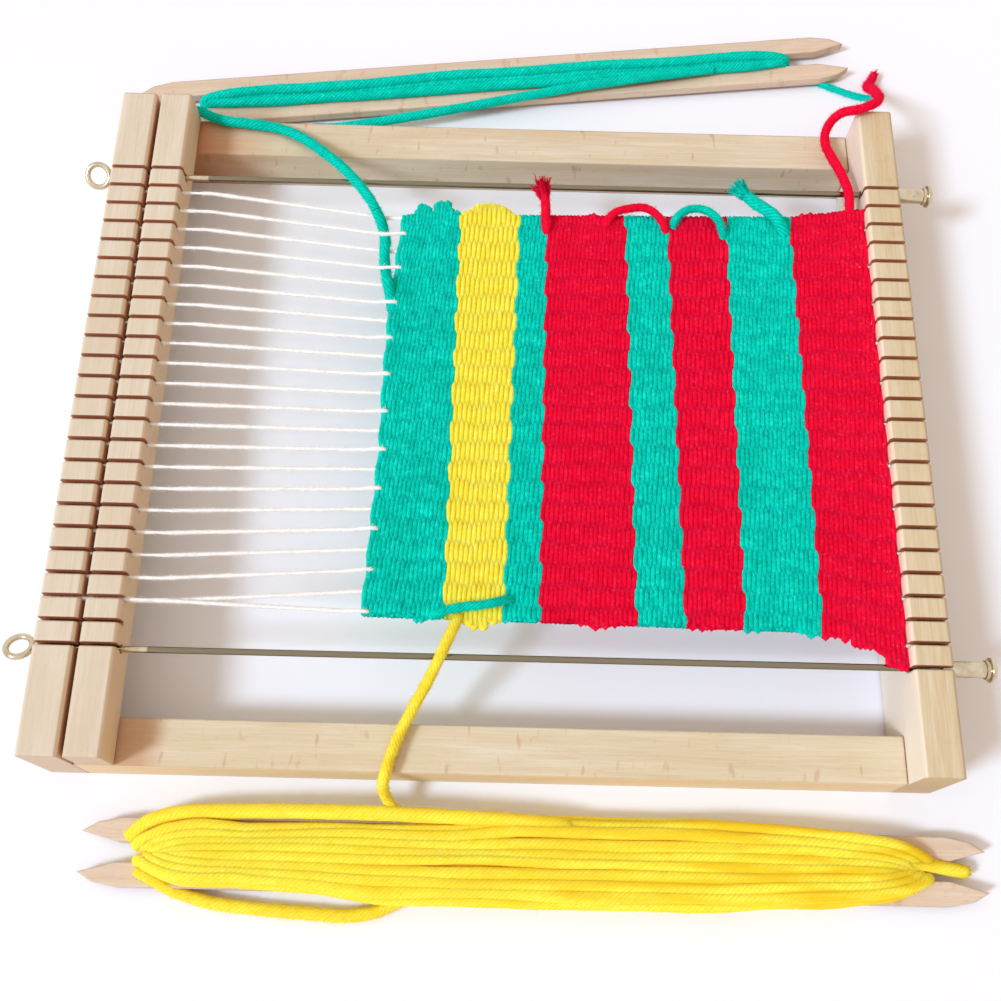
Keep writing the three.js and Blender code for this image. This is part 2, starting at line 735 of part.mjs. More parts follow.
function addWeftEnds() {
  const farEdge = (x) => courseY(0, x) + selvage;
  const nearEdge = (x) => courseY(passCount - 1, x) - selvage;
  const redEnd = [[0.4, -6.4], [-0.6, 0.6], [-1.6, 7.6], [-2.6, 14.6]];
  const redFloat = [[-6.5, -2.2], [0.5, -0.4], [8.5, -1.7], [13.5, -7]];
  const greenLoop = [[4.2, -1.8], [9.7, 0.4], [15.7, -2.1], [19.7, -8.7]];
  const greenEnd = [[7.5, -3.3], [5, 3.7], [1.5, 9.7], [-3, 14.7]];
  const greenFloat = [[28.1, 4.7], [35.6, 5.5], [43.6, 7.4], [49.6, 9.3]];
  weftEnd("red_weft_end", redColour, stripeFarX(3), farEdge, redEnd);
  weftEnd("red_weft_float", redColour, stripeFarX(4), farEdge, redFloat);
  weftEnd("green_weft_loop", greenColour, stripeFarX(5), farEdge, greenLoop);
  weftEnd("green_weft_end", greenColour, stripeFarX(6), farEdge, greenEnd);
  weftEnd("green_weft_float", greenColour, clothNearLeft, nearEdge, greenFloat);
}

addFrame();
addRod("back", 0, backEyeTilt, 0);
addRod("front", nearKerfY, frontEyeTilt, frontNutOut);
addWarp();
addCloth();
const yellowHolder = addShuttle(
  "yellow", yellowLoops, [], yellowColour, yellowStickX, yellowStickY, 0,
);
const greenHolder = addShuttle(
  "green", greenLoops, greenLead, greenColour, greenStickX, greenStickY, greenStickTurn,
);
loom.updateMatrixWorld(true);
addYarns(yellowHolder, greenHolder);
addWeftEnds();

// The origin is under the middle of everything but the free yarns
const freeYarns = [
  "green_working_yarn", "yellow_working_yarn", "red_tail", "green_tail", "yellow_loose_end",
];
loom.updateMatrixWorld(true);
const whole = new THREE.Box3();
loom.traverse((piece) => {
  if (piece.isMesh && !freeYarns.includes(piece.name)) {
    whole.expandByObject(piece, true);
  }
});
const middle = whole.getCenter(new THREE.Vector3());
loom.position.set(-middle.x, -middle.y, -whole.min.z);

export default loom;
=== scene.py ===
import bpy
import bmesh
import math
import random
from mathutils import Matrix, Vector, noise


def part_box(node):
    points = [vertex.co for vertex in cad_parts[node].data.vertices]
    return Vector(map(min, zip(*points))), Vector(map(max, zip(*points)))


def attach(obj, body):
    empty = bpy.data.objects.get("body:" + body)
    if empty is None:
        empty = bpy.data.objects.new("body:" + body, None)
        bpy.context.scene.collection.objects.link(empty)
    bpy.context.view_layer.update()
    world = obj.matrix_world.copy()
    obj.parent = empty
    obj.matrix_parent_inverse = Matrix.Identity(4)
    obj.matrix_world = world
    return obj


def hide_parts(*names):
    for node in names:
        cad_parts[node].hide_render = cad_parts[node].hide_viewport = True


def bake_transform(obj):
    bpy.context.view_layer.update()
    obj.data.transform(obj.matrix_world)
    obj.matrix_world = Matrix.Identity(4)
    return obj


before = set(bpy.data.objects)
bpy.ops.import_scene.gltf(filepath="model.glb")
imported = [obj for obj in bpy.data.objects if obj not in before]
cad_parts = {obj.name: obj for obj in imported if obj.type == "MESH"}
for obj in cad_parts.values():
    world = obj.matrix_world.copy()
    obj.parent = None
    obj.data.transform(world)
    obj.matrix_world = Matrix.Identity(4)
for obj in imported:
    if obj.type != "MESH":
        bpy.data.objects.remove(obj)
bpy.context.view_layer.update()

# The loom's own layout, in millimetres: X from the outer bar's middle, Y from the far kerf, Z from the table
mm = 0.001
farKerf = 34.0  # from the outer bar's far end
barLow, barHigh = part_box("outer_bar")
originX = (barLow[0] + barHigh[0]) / 2
originY = barHigh[1] - farKerf * mm


def at(x, y, z):
    return Vector((originX + x * mm, originY + y * mm, z * mm))


def places(points):
    return [at(*point) for point in points]


def colour(red, green, blue):
    def straight(value):
        value /= 255
        return value / 12.92 if value <= 0.04045 else ((value + 0.055) / 1.055) ** 2.4
    return (straight(red), straight(green), straight(blue), 1)


def lerp(start, end, share):
    return start + (end - start) * share


def clamped(value):
    return min(1.0, max(0.0, value))


def linked(name, data):
    made = bpy.data.objects.new(name, data)
    bpy.context.scene.collection.objects.link(made)
    return made


# Camera, where the photographer stood
cameraView = {
    "place": (142.394, -276.772, 415.038), "turn": (20.9711, -0.1155, 1.4149), "lens": 43.27,
    "sensor": 36, "reach": (0.01, 10),
}


def addCamera():
    lens = bpy.data.cameras.new("camera")
    lens.sensor_width = cameraView["sensor"]
    lens.lens = cameraView["lens"]
    lens.clip_start, lens.clip_end = cameraView["reach"]
    camera = linked("camera", lens)
    camera.rotation_mode = "ZYX"
    camera.rotation_euler = [math.radians(angle) for angle in cameraView["turn"]]
    camera.location = at(*cameraView["place"])
    bpy.context.scene.camera = camera


# Small helpers for node trees
def wire(tree, node, inputs):
    for key, value in inputs.items():
        socket = node.inputs[key]
        if isinstance(value, bpy.types.NodeSocket):
            tree.links.new(value, socket)
        else:
            socket.default_value = value


def addNode(tree, kind, inputs=None, **settings):
    node = tree.nodes.new(kind)
    for key, value in settings.items():
        setattr(node, key, value)
    wire(tree, node, inputs or {})
    return node


def maths(tree, operation, first, second=0.0, third=0.0):
    return addNode(tree, "ShaderNodeMath", {0: first, 1: second, 2: third}, operation=operation).outputs[0]


def weighed(tree, first, *others):
    total = maths(tree, "MULTIPLY", *first)
    for value, weight in others:
        total = maths(tree, "MULTIPLY_ADD", value, weight, total)
    return total


def noiseAt(tree, place, scale, detail, bend=0.0):
    return addNode(tree, "ShaderNodeTexNoise", {
        "Vector": place, "Scale": scale, "Detail": detail, "Distortion": bend}).outputs[0]


def parted(tree, vector):
    return addNode(tree, "ShaderNodeSeparateXYZ", {0: vector}).outputs


def newTree(name, inputs):
    tree = bpy.data.node_groups.new(name, "GeometryNodeTree")
    tree.interface.new_socket("Geometry", in_out="INPUT", socket_type="NodeSocketGeometry")
    for title, kind, value in inputs:
        socket = tree.interface.new_socket(title, in_out="INPUT", socket_type="NodeSocket" + kind)
        if value is not None:
            socket.default_value = value
    tree.interface.new_socket("Geometry", in_out="OUTPUT", socket_type="NodeSocketGeometry")
    return tree, tree.nodes.new("NodeGroupInput").outputs, tree.nodes.new("NodeGroupOutput").inputs


def runTree(name, runs, tree, values):
    carrier = linked(name + "_path", pathMesh(name + "_path", runs))
    modifier = carrier.modifiers.new("nodes", "NODES")
    modifier.node_group = tree
    for item in tree.interface.items_tree:
        if item.item_type == "SOCKET" and item.in_out == "INPUT" and item.name in values:
            modifier[item.identifier] = values[item.name]
    depsgraph = bpy.context.evaluated_depsgraph_get()
    made = carrier.evaluated_get(depsgraph)
    plain = bpy.data.meshes.new_from_object(made, preserve_all_data_layers=True, depsgraph=depsgraph)
    carrier.modifiers.remove(modifier)
    bpy.data.objects.remove(carrier)
    plain.name = name
    return linked(name, plain)


# Paths for thread and wool: one chain of edges for each run, with the share of full thickness at each point
def pathMesh(name, runs):
    points, edges, girths = [], [], []
    for run in runs:
        first = len(points)
        for index, (point, girth) in enumerate(run):
            points.append(point)
            girths.append(girth)
            if index:
                edges.append((first + index - 1, first + index))
    mesh = bpy.data.meshes.new(name)
    mesh.from_pydata(points, edges, [])
    mesh.attributes.new("girth", "FLOAT", "POINT").data.foreach_set("value", girths)
    return mesh


def smoothPath(points, step):
    chords = [0.0]
    for first, second in zip(points, points[1:]):
        chords.append(chords[-1] + max((second - first).length, 1e-9) ** 0.5)
    path = []
    for index in range(len(points) - 1):
        before = points[max(index - 1, 0)]
        start, end = points[index], points[index + 1]
        after = points[min(index + 2, len(points) - 1)]
        span = chords[index + 1] - chords[index]
        lead = chords[index] - chords[index - 1] if index else span
        follow = chords[index + 2] - chords[index + 1] if index + 2 < len(points) else span
        startSlope = end - before if index == 0 else (
            (start - before) / lead - (end - before) / (lead + span) + (end - start) / span) * span
        endSlope = after - start if index + 2 >= len(points) else (
            (end - start) / span - (after - start) / (span + follow) + (after - end) / follow) * span
        count = max(2, round((end - start).length / step))
        for part in range(count):
            t = part / count
            path.append((2 * t**3 - 3 * t**2 + 1) * start + (t**3 - 2 * t**2 + t) * startSlope
                        + (3 * t**2 - 2 * t**3) * end + (t**3 - t**2) * endSlope)
    path.append(points[-1])
    return path


def evenRun(path, girth=1.0):
    return [(point, girth) for point in path]


# Loose fibre that stands off a yarn, in metres; its length varies by the shares in spread
fibre = {"root": 0.00006, "length": 0.0014, "lean": 1.4, "spread": (0.35, 1.3)}


def addFibres(tree, surface, inputs):
    hair = addNode(tree, "GeometryNodeMeshCone", {
        "Vertices": 3, "Radius Top": 0.0, "Radius Bottom": fibre["root"], "Depth": fibre["length"]})
    spots = addNode(tree, "GeometryNodeDistributePointsOnFaces", {
        "Mesh": surface, "Density": inputs["Fibre Density"], "Seed": inputs["Seed"]})
    lean = addNode(tree, "FunctionNodeRandomValue", {
        0: (-fibre["lean"], -fibre["lean"], 0), 1: (fibre["lean"], fibre["lean"], 6.3),
        "Seed": inputs["Seed"]}, data_type="FLOAT_VECTOR")
    turn = addNode(tree, "FunctionNodeEulerToRotation", {"Euler": lean.outputs[0]})
    facing = addNode(tree, "FunctionNodeRotateRotation", {
        "Rotation": spots.outputs["Rotation"], "Rotate By": turn.outputs[0]}, rotation_space="LOCAL")
    size = addNode(tree, "FunctionNodeRandomValue", {
        2: fibre["spread"][0], 3: fibre["spread"][1], "Seed": inputs["Seed"]}, data_type="FLOAT")
    hairs = addNode(tree, "GeometryNodeInstanceOnPoints", {
        "Points": spots.outputs["Points"], "Instance": hair.outputs["Mesh"], "Rotation": facing.outputs[0],
        "Scale": maths(tree, "MULTIPLY", size.outputs[1], inputs["Fibre Length"])})
    both = addNode(tree, "GeometryNodeJoinGeometry")
    tree.links.new(hairs.outputs[0], both.inputs[0])
    tree.links.new(surface, both.inputs[0])
    return both.outputs[0]


# How the plies wind round a yarn, the same for its shape and for the painted shade in its grooves: the angle
# and the height of the ridges
twist = {"lay": 0.014, "plies": 8.0, "wander": 9.0, "wanderScale": 90.0}


def plyRidges(tree, along, rimX, rimY, broad):
    angle = maths(tree, "MULTIPLY_ADD", along, math.tau / twist["lay"], maths(tree, "ARCTAN2", rimY, rimX))
    bent = weighed(tree, (angle, twist["plies"]), (broad, twist["wander"]))
    ridge = maths(tree, "MULTIPLY_ADD", maths(tree, "COSINE", bent), 0.5, 0.5)
    return angle, maths(tree, "POWER", ridge, 0.5)


# Yarn, thread or weft along a path: a section of uneven girth, with its length and its rim kept for the
# plies' marks. Spun yarn is round and shows its plies. Beaten weft is an oval that stays level
def yarnTree(name, beaten):
    sizes = [("Width", 0.0025), ("Height", 0.0019)] if beaten else [("Thickness", 0.004), ("Ply Depth", 0.0)]
    sizes += [("Unevenness", 0.06), ("Fibre Density", 0.0), ("Fibre Length", 1.0)]
    tree, inputs, ends = newTree(name, [(title, "Float", value) for title, value in sizes] + [
        ("Sides", "Int", 8), ("Seed", "Int", 1), ("Material", "Material", None)])

    def stored(geometry, title, value):
        inputs = {"Geometry": geometry, "Name": title, "Value": value}
        return addNode(tree, "GeometryNodeStoreNamedAttribute", inputs, data_type="FLOAT",
                       domain="POINT").outputs[0]

    def kept(title):
        node = addNode(tree, "GeometryNodeInputNamedAttribute", {"Name": title}, data_type="FLOAT")
        return node.outputs[0]

    curve = addNode(tree, "GeometryNodeMeshToCurve", {"Mesh": inputs["Geometry"]}).outputs[0]
    if beaten:
        curve = addNode(tree, "GeometryNodeSetCurveNormal", {0: curve}, mode="Z_UP").outputs[0]
    lined = stored(curve, "along", addNode(tree, "GeometryNodeSplineParameter").outputs["Length"])
    place = addNode(tree, "GeometryNodeInputPosition").outputs[0]
    bulge = noiseAt(tree, place, 300.0, 1.0) if beaten else noiseAt(tree, place, 160.0, 2.0)
    swell = maths(tree, "MULTIPLY", maths(tree, "SUBTRACT", bulge, 0.5), 2.0)
    swell = maths(tree, "MULTIPLY_ADD", swell, inputs["Unevenness"], 1.0)
    swell = maths(tree, "MULTIPLY", swell, kept("girth"))

    radius = 0.5 if beaten else maths(tree, "MULTIPLY", inputs["Thickness"], 0.5)
    ring = addNode(tree, "GeometryNodeCurvePrimitiveCircle", {
        "Resolution": inputs["Sides"], "Radius": radius}, mode="RADIUS").outputs[0]
    parts = parted(tree, place)
    around = maths(tree, "ARCTAN2", parts[1], parts[0])
    for title, wave in (("rim_x", "COSINE"), ("rim_y", "SINE")):
        ring = stored(ring, title, maths(tree, wave, around))
    if beaten:
        oval = addNode(tree, "ShaderNodeCombineXYZ", {
            0: maths(tree, "MULTIPLY", parts[0], inputs["Width"]),
            1: maths(tree, "MULTIPLY", parts[1], inputs["Height"]), 2: 0.0}).outputs[0]
        ring = addNode(tree, "GeometryNodeSetPosition", {"Geometry": ring, "Position": oval}).outputs[0]
    body = addNode(tree, "GeometryNodeCurveToMesh", {
        "Curve": lined, "Profile Curve": ring, "Scale": swell, "Fill Caps": True}).outputs[0]
    if not beaten:
        broad = noiseAt(tree, place, twist["wanderScale"], 2.0)
        ridge = plyRidges(tree, kept("along"), kept("rim_x"), kept("rim_y"), broad)[1]
        depth = maths(tree, "MULTIPLY", maths(tree, "SUBTRACT", ridge, 1.0), inputs["Ply Depth"])
        inward = addNode(tree, "ShaderNodeVectorMath", {
            0: addNode(tree, "GeometryNodeInputNormal").outputs[0], "Scale": depth}, operation="SCALE")
        body = addNode(tree, "GeometryNodeSetPosition", {
            "Geometry": body, "Offset": inward.outputs[0]}).outputs[0]
    smooth = addNode(tree, "GeometryNodeSetShadeSmooth", {"Geometry": body}).outputs[0]
    real = addNode(tree, "GeometryNodeRealizeInstances", {0: addFibres(tree, smooth, inputs)}).outputs[0]
    dressed = addNode(tree, "GeometryNodeSetMaterial", {"Geometry": real, "Material": inputs["Material"]})
    tree.links.new(dressed.outputs[0], ends[0])
    return tree


# Materials
def newMaterial(name):
    material = bpy.data.materials.new(name)
    material.use_nodes = True
    tree = material.node_tree
    place = addNode(tree, "ShaderNodeTexCoord").outputs["Object"]
    return material, tree, tree.nodes["Principled BSDF"], place


def blendColours(tree, share, first, second):
    return addNode(tree, "ShaderNodeMix", {0: share, 6: first, 7: second}, data_type="RGBA").outputs[2]


def ranged(tree, value, low, high, newLow=0.0, newHigh=1.0):
    return addNode(tree, "ShaderNodeMapRange", {0: value, 1: low, 2: high, 3: newLow, 4: newHigh}).outputs[0]


def mapped(tree, place, scale, turn=0.0):
    return addNode(tree, "ShaderNodeMapping", {
        "Vector": place, "Scale": scale, "Rotation": (0, 0, math.radians(turn))}).outputs[0]


def bumped(tree, height, strength, depth, **others):
    return addNode(tree, "ShaderNodeBump", {
        "Strength": strength, "Distance": depth, "Height": height, **others}).outputs[0]


def hollows(tree, reach, samples):
    return addNode(tree, "ShaderNodeAmbientOcclusion", {"Distance": reach}, samples=samples).outputs["AO"]


woolTones = {
    "green": {"crown": colour(6, 236, 218), "shade": colour(0, 166, 150), "fleck": colour(80, 238, 224),
              "glow": (0.02, 0.6, 0.5)},
    "yellow": {"crown": colour(255, 252, 100), "shade": colour(248, 218, 44), "fleck": colour(255, 253, 160),
               "glow": (0.7, 0.7, 0.1), "deep": colour(240, 204, 38), "groove": colour(255, 200, 30)},
    "red": {"crown": colour(255, 22, 70), "shade": colour(218, 2, 44), "fleck": colour(255, 90, 124),
            "glow": (1.0, 0.02, 0.06)},
}
woolGrain = {"mottle": 900.0, "clumps": 330.0, "streaks": 23.0, "bands": 260.0, "bandStretch": 0.12,
             "deepFrom": 0.1, "deepTo": 0.26, "grooveReach": 0.003, "bumpDepth": 0.0002}
woolFinish = {"Roughness": 0.95, "Specular IOR Level": 0.05, "Subsurface Weight": 0.5,
              "Subsurface Scale": 0.0014, "Sheen Weight": 0.25, "Sheen Roughness": 0.6}


# Wool: shallow marks of the plies with painted shade in their grooves, fine streaks that follow the twist,
# and mottled dye
def woolMaterial(name, tones, beaten):
    material, tree, surface, place = newMaterial(name)
    along, rimX, rimY = (addNode(tree, "ShaderNodeAttribute", attribute_name=title).outputs["Fac"]
                         for title in ("along", "rim_x", "rim_y"))
    mottle = noiseAt(tree, place, woolGrain["mottle"], 4.0)
    broad = noiseAt(tree, place, twist["wanderScale"], 2.0)
    clumps = noiseAt(tree, place, woolGrain["clumps"], 1.0)
    angle, groove = plyRidges(tree, along, rimX, rimY, broad)
    drift = weighed(tree, (angle, woolGrain["streaks"]), (mottle, 5.0))
    streak = maths(tree, "MULTIPLY_ADD", maths(tree, "SINE", drift), 0.5, 0.5)
    # painted shade: the ply grooves blend toward the shade tone, the ridges toward the crown tone
    raised = weighed(tree, (groove, 0.16 if beaten else 0.36), (mottle, 0.4), (clumps, 0.35), (streak, 0.12))
    body = blendColours(tree, ranged(tree, raised, 0.36, 0.72 if beaten else 0.95), tones["shade"],
                        tones["crown"])
    body = blendColours(tree, ranged(tree, mottle, 0.58, 0.78, 0.0, 0.4), body, tones["fleck"])
    body = blendColours(tree, ranged(tree, broad, 0.4, 0.7, 0.0, 0.3), body, tones["shade"])
    if "deep" in tones and not beaten:  # bundles of this dye are deeper to the right, and their hollows get painted amber shade
        drawn = mapped(tree, place, (woolGrain["bandStretch"], 1, 1))
        bands = ranged(tree, noiseAt(tree, drawn, woolGrain["bands"], 1.0), 0.38, 0.6)
        rightward = ranged(tree, parted(tree, place)[0], originX + woolGrain["deepFrom"],
                           originX + woolGrain["deepTo"], 0.25, 1.0)
        body = blendColours(tree, maths(tree, "MULTIPLY", bands, rightward), body, tones["deep"])
        # painted shade: ambient occlusion blends the hollows between strands toward an amber tone
        hidden = hollows(tree, woolGrain["grooveReach"], 6)
        body = blendColours(tree, ranged(tree, hidden, 0.1, 0.55, 0.85, 0.0), body, tones["groove"])
    height = weighed(tree, (streak, 0.25), (groove, 0.5), (mottle, 0.5))
    bump = bumped(tree, height, 0.5 if beaten else 0.75, woolGrain["bumpDepth"])
    wire(tree, surface, {**woolFinish, "Base Color": body, "Normal": bump,
                         "Subsurface Radius": tones["glow"], "Sheen Tint": tones["crown"]})
    return material


cottonLook = {"shade": colour(236, 236, 238), "crown": colour(252, 253, 255), "mottle": 800.0, "bump": 0.5,
              "bumpDepth": 0.0002, "roughness": 0.95, "sheen": 0.2}


def cottonMaterial():
    material, tree, surface, place = newMaterial("warp_cotton")
    mottle = noiseAt(tree, place, cottonLook["mottle"], 3.0)
    body = blendColours(tree, ranged(tree, mottle, 0.3, 0.7), cottonLook["shade"], cottonLook["crown"])
    bump = bumped(tree, mottle, cottonLook["bump"], cottonLook["bumpDepth"])
    wire(tree, surface, {"Base Color": body, "Normal": bump, "Roughness": cottonLook["roughness"],
                         "Sheen Weight": cottonLook["sheen"]})
    return material


# Beech: long fine grain, broad growth bands and short ray flecks, with reddish-brown painted shade on kerf
# walls and in corners and gaps.
# A rail's left end is painted reddish-brown over a stretch in X, a painted shadow of the inner bar, and some
# kinds paint one side lighter or warmer, painted light and shade on that side
woodKinds = {
    "bar_beech": {
        "grain": 1, "pale": (221, 212, 198), "dark": (208, 192, 168), "cut": (212, 188, 162), "fleck": 0.08,
        "marks": 0.0,
        "paintedSideLight": {"axis": 0, "edge": (0.5, 0.9), "amount": (0.0, 0.65), "tone": (246, 206, 160)}},
    "right_beech": {
        "grain": 1, "pale": (220, 207, 182), "dark": (198, 176, 138), "cut": (208, 178, 138), "fleck": 0.08,
        "marks": 0.12,
        "paintedSideLight": {"axis": 0, "edge": (-0.9, -0.5), "amount": (0.9, 0.0), "tone": (240, 230, 216)}},
    "back_rail_beech": {
        "grain": 0, "pale": (222, 211, 192), "dark": (204, 184, 154), "cut": (206, 166, 126), "fleck": 0.1,
        "marks": 0.5, "paintedShadow": (20.0, 52.0), "paintedShadowStrength": 0.85},
    "front_rail_beech": {
        "grain": 0, "pale": (222, 212, 190), "dark": (206, 188, 156), "cut": (206, 166, 126), "fleck": 0.1,
        "marks": 0.4, "paintedShadow": (28.0, 36.0), "paintedShadowStrength": 0.5,
        "paintedSideLight": {"axis": 1, "edge": (-0.9, -0.5), "amount": (0.7, 0.0), "tone": (246, 220, 178)}},
    "stick_beech": {
        "grain": 0, "pale": (224, 208, 192), "dark": (208, 184, 162), "cut": (200, 168, 140), "fleck": 0.15,
        "marks": 0.3},
    "turned_stick_beech": {
        "grain": 0, "turn": -6.8, "pale": (224, 206, 188), "dark": (206, 180, 156), "cut": (200, 166, 138),
        "fleck": 0.15, "marks": 0.3},
}
woodTones = {"fleck": colour(164, 112, 70), "mark": colour(186, 134, 92), "paintedShadow": colour(190, 122, 80),
             "paintedKerfShade": colour(178, 118, 82), "paintedShade": colour(184, 112, 74)}
# Noise for the grain: its stretch along and across the wood, how fine it is, its detail and its bend
woodGrain = {
    "fine": (0.04, 1.0, 1700.0, 4.0), "band": (0.06, 1.0, 230.0, 3.0, 0.8), "mark": (1.0, 0.3, 330.0, 1.0),
    "figure": (0.3, 1.0, 60.0, 2.0, 0.4), "fleck": (0.16, 1.0, 1900.0, 1.0),
    "pores": (1.0, 1.0, 1600.0, 3.0),
}
woodFinish = {"softEdge": 0.0011, "paintedShadeReach": 0.006, "bump": 0.2, "bumpDepth": 0.0001,
              "roughness": (0.52, 0.68), "shine": 0.3}
kerfs = {"middle": -0.092, "reach": 0.0945}  # the stretch of each bar that has kerfs, in metres


def woodMaterial(name):
    kind = woodKinds[name]
    material, tree, surface, place = newMaterial(name)
    pale, dark, cut = (colour(*kind[tone]) for tone in ("pale", "dark", "cut"))
    long = kind["grain"]
    placed = mapped(tree, place, (1, 1, 1), kind.get("turn", 0.0))

    def grainNoise(along, across, scale, detail, bend=0.0):
        stretch = [across] * 3
        stretch[long] = along
        return noiseAt(tree, mapped(tree, placed, stretch), scale, detail, bend)

    fine, band, mark, figure, fleck, pores = (grainNoise(*settings) for settings in woodGrain.values())
    tone = weighed(tree, (band, 0.55), (fine, 0.5))
    body = blendColours(tree, ranged(tree, tone, 0.36, 0.74), pale, dark)
    body = blendColours(tree, ranged(tree, figure, 0.45, 0.72, 0.0, 0.5), body, dark)
    body = blendColours(tree, ranged(tree, fleck, 0.62, 0.70, 0.0, kind["fleck"]), body, woodTones["fleck"])
    body = blendColours(tree, ranged(tree, mark, 0.66, 0.74, 0.0, kind["marks"]), body, woodTones["mark"])
    reach = parted(tree, place)
    # painted shadow: the rail reddens towards its left end, where the inner bar's shadow falls
    if "paintedShadow" in kind:
        near, far = (originX + edge * mm for edge in kind["paintedShadow"])
        paintedShadowStrength = ranged(tree, reach[0], near, far, kind["paintedShadowStrength"], 0.0)
        body = blendColours(tree, paintedShadowStrength, body, woodTones["paintedShadow"])
    axes = parted(tree, place.node.outputs["Normal"])
    endFaces = ranged(tree, maths(tree, "ABSOLUTE", axes[long]), 0.75, 0.9)
    ends = blendColours(tree, ranged(tree, pores, 0.4, 0.65, 0.0, 0.6), cut, dark)
    # painted shade: faces across the bar inside the kerfed stretch, the kerf walls, get a dark reddish-brown
    if long == 1:
        paintedKerfShade = maths(tree, "COMPARE", reach[1], originY + kerfs["middle"], kerfs["reach"])
        ends = blendColours(tree, paintedKerfShade, ends, woodTones["paintedKerfShade"])
    # painted light and shade: one side of the piece, picked by its normal, gets a lighter or warmer tone of
    # its own
    if "paintedSideLight" in kind:
        paintedSideLight = kind["paintedSideLight"]
        share = ranged(tree, axes[paintedSideLight["axis"]], *paintedSideLight["edge"], *paintedSideLight["amount"])
        body = blendColours(tree, share, body, colour(*paintedSideLight["tone"]))
    body = blendColours(tree, endFaces, body, ends)
    # painted shade: reddish-brown mixed in wherever ambient occlusion finds corners, gaps and kerfs
    paintedShade = ranged(tree, hollows(tree, woodFinish["paintedShadeReach"], 8), 0.1, 0.6, 0.75, 0.0)
    body = blendColours(tree, paintedShade, body, woodTones["paintedShade"])
    soft = addNode(tree, "ShaderNodeBevel", {"Radius": woodFinish["softEdge"]}, samples=8).outputs[0]
    height = maths(tree, "MULTIPLY_ADD", fleck, -0.5, fine)
    wire(tree, surface, {
        "Base Color": body, "Roughness": ranged(tree, fine, 0.3, 0.7, *woodFinish["roughness"]),
        "Normal": bumped(tree, height, woodFinish["bump"], woodFinish["bumpDepth"], Normal=soft),
        "Specular IOR Level": woodFinish["shine"]})
    return material


# Nickel: bright at the eyes and nuts; on the stretch of rod between the bars a darker brownish tone is
# painted in, a painted reflection of the wood
nickelLook = {"bright": colour(216, 200, 172), "cloud": colour(190, 170, 138), "paintedWoodReflection": colour(138, 126, 104),
              "paintedReflectionMiddle": 0.157, "paintedReflectionReach": 0.128, "drawnLines": 4000.0, "clouds": 260.0,
              "roughness": (0.14, 0.26), "bump": 0.12, "bumpDepth": 0.00005}


def nickelMaterial():
    look = nickelLook
    material, tree, surface, place = newMaterial("bright_nickel")
    lines = noiseAt(tree, mapped(tree, place, (0.04, 1, 1)), look["drawnLines"], 2.0)
    cloud = noiseAt(tree, place, look["clouds"], 3.0)
    body = blendColours(tree, ranged(tree, cloud, 0.4, 0.7), look["bright"], look["cloud"])
    # painted reflection: the rod between the bars blends toward a darker brownish tone
    middle = originX + look["paintedReflectionMiddle"]
    inside = maths(tree, "COMPARE", parted(tree, place)[0], middle, look["paintedReflectionReach"])
    body = blendColours(tree, inside, body, look["paintedWoodReflection"])
    wire(tree, surface, {
        "Base Color": body, "Metallic": 1.0, "Roughness": ranged(tree, lines, 0.3, 0.7, *look["roughness"]),
        "Normal": bumped(tree, lines, look["bump"], look["bumpDepth"])})
    return material


def dress(piece, material):
    piece.data.materials.clear()
    piece.data.materials.append(material)


def settle(piece, body, node):
    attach(piece, body)
    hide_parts(node)


addCamera()
spunYarn = yarnTree("spun_yarn", False)
beatenWeft = yarnTree("beaten_weft", True)
wool = {name: woolMaterial("wool_" + name, tones, False) for name, tones in woolTones.items()}
weftWool = {name: woolMaterial("weft_" + name, tones, True) for name, tones in woolTones.items()}
cotton = cottonMaterial()
wood = {name: woodMaterial(name) for name in woodKinds}
nickel = nickelMaterial()
print("stage: camera, yarn trees and materials")

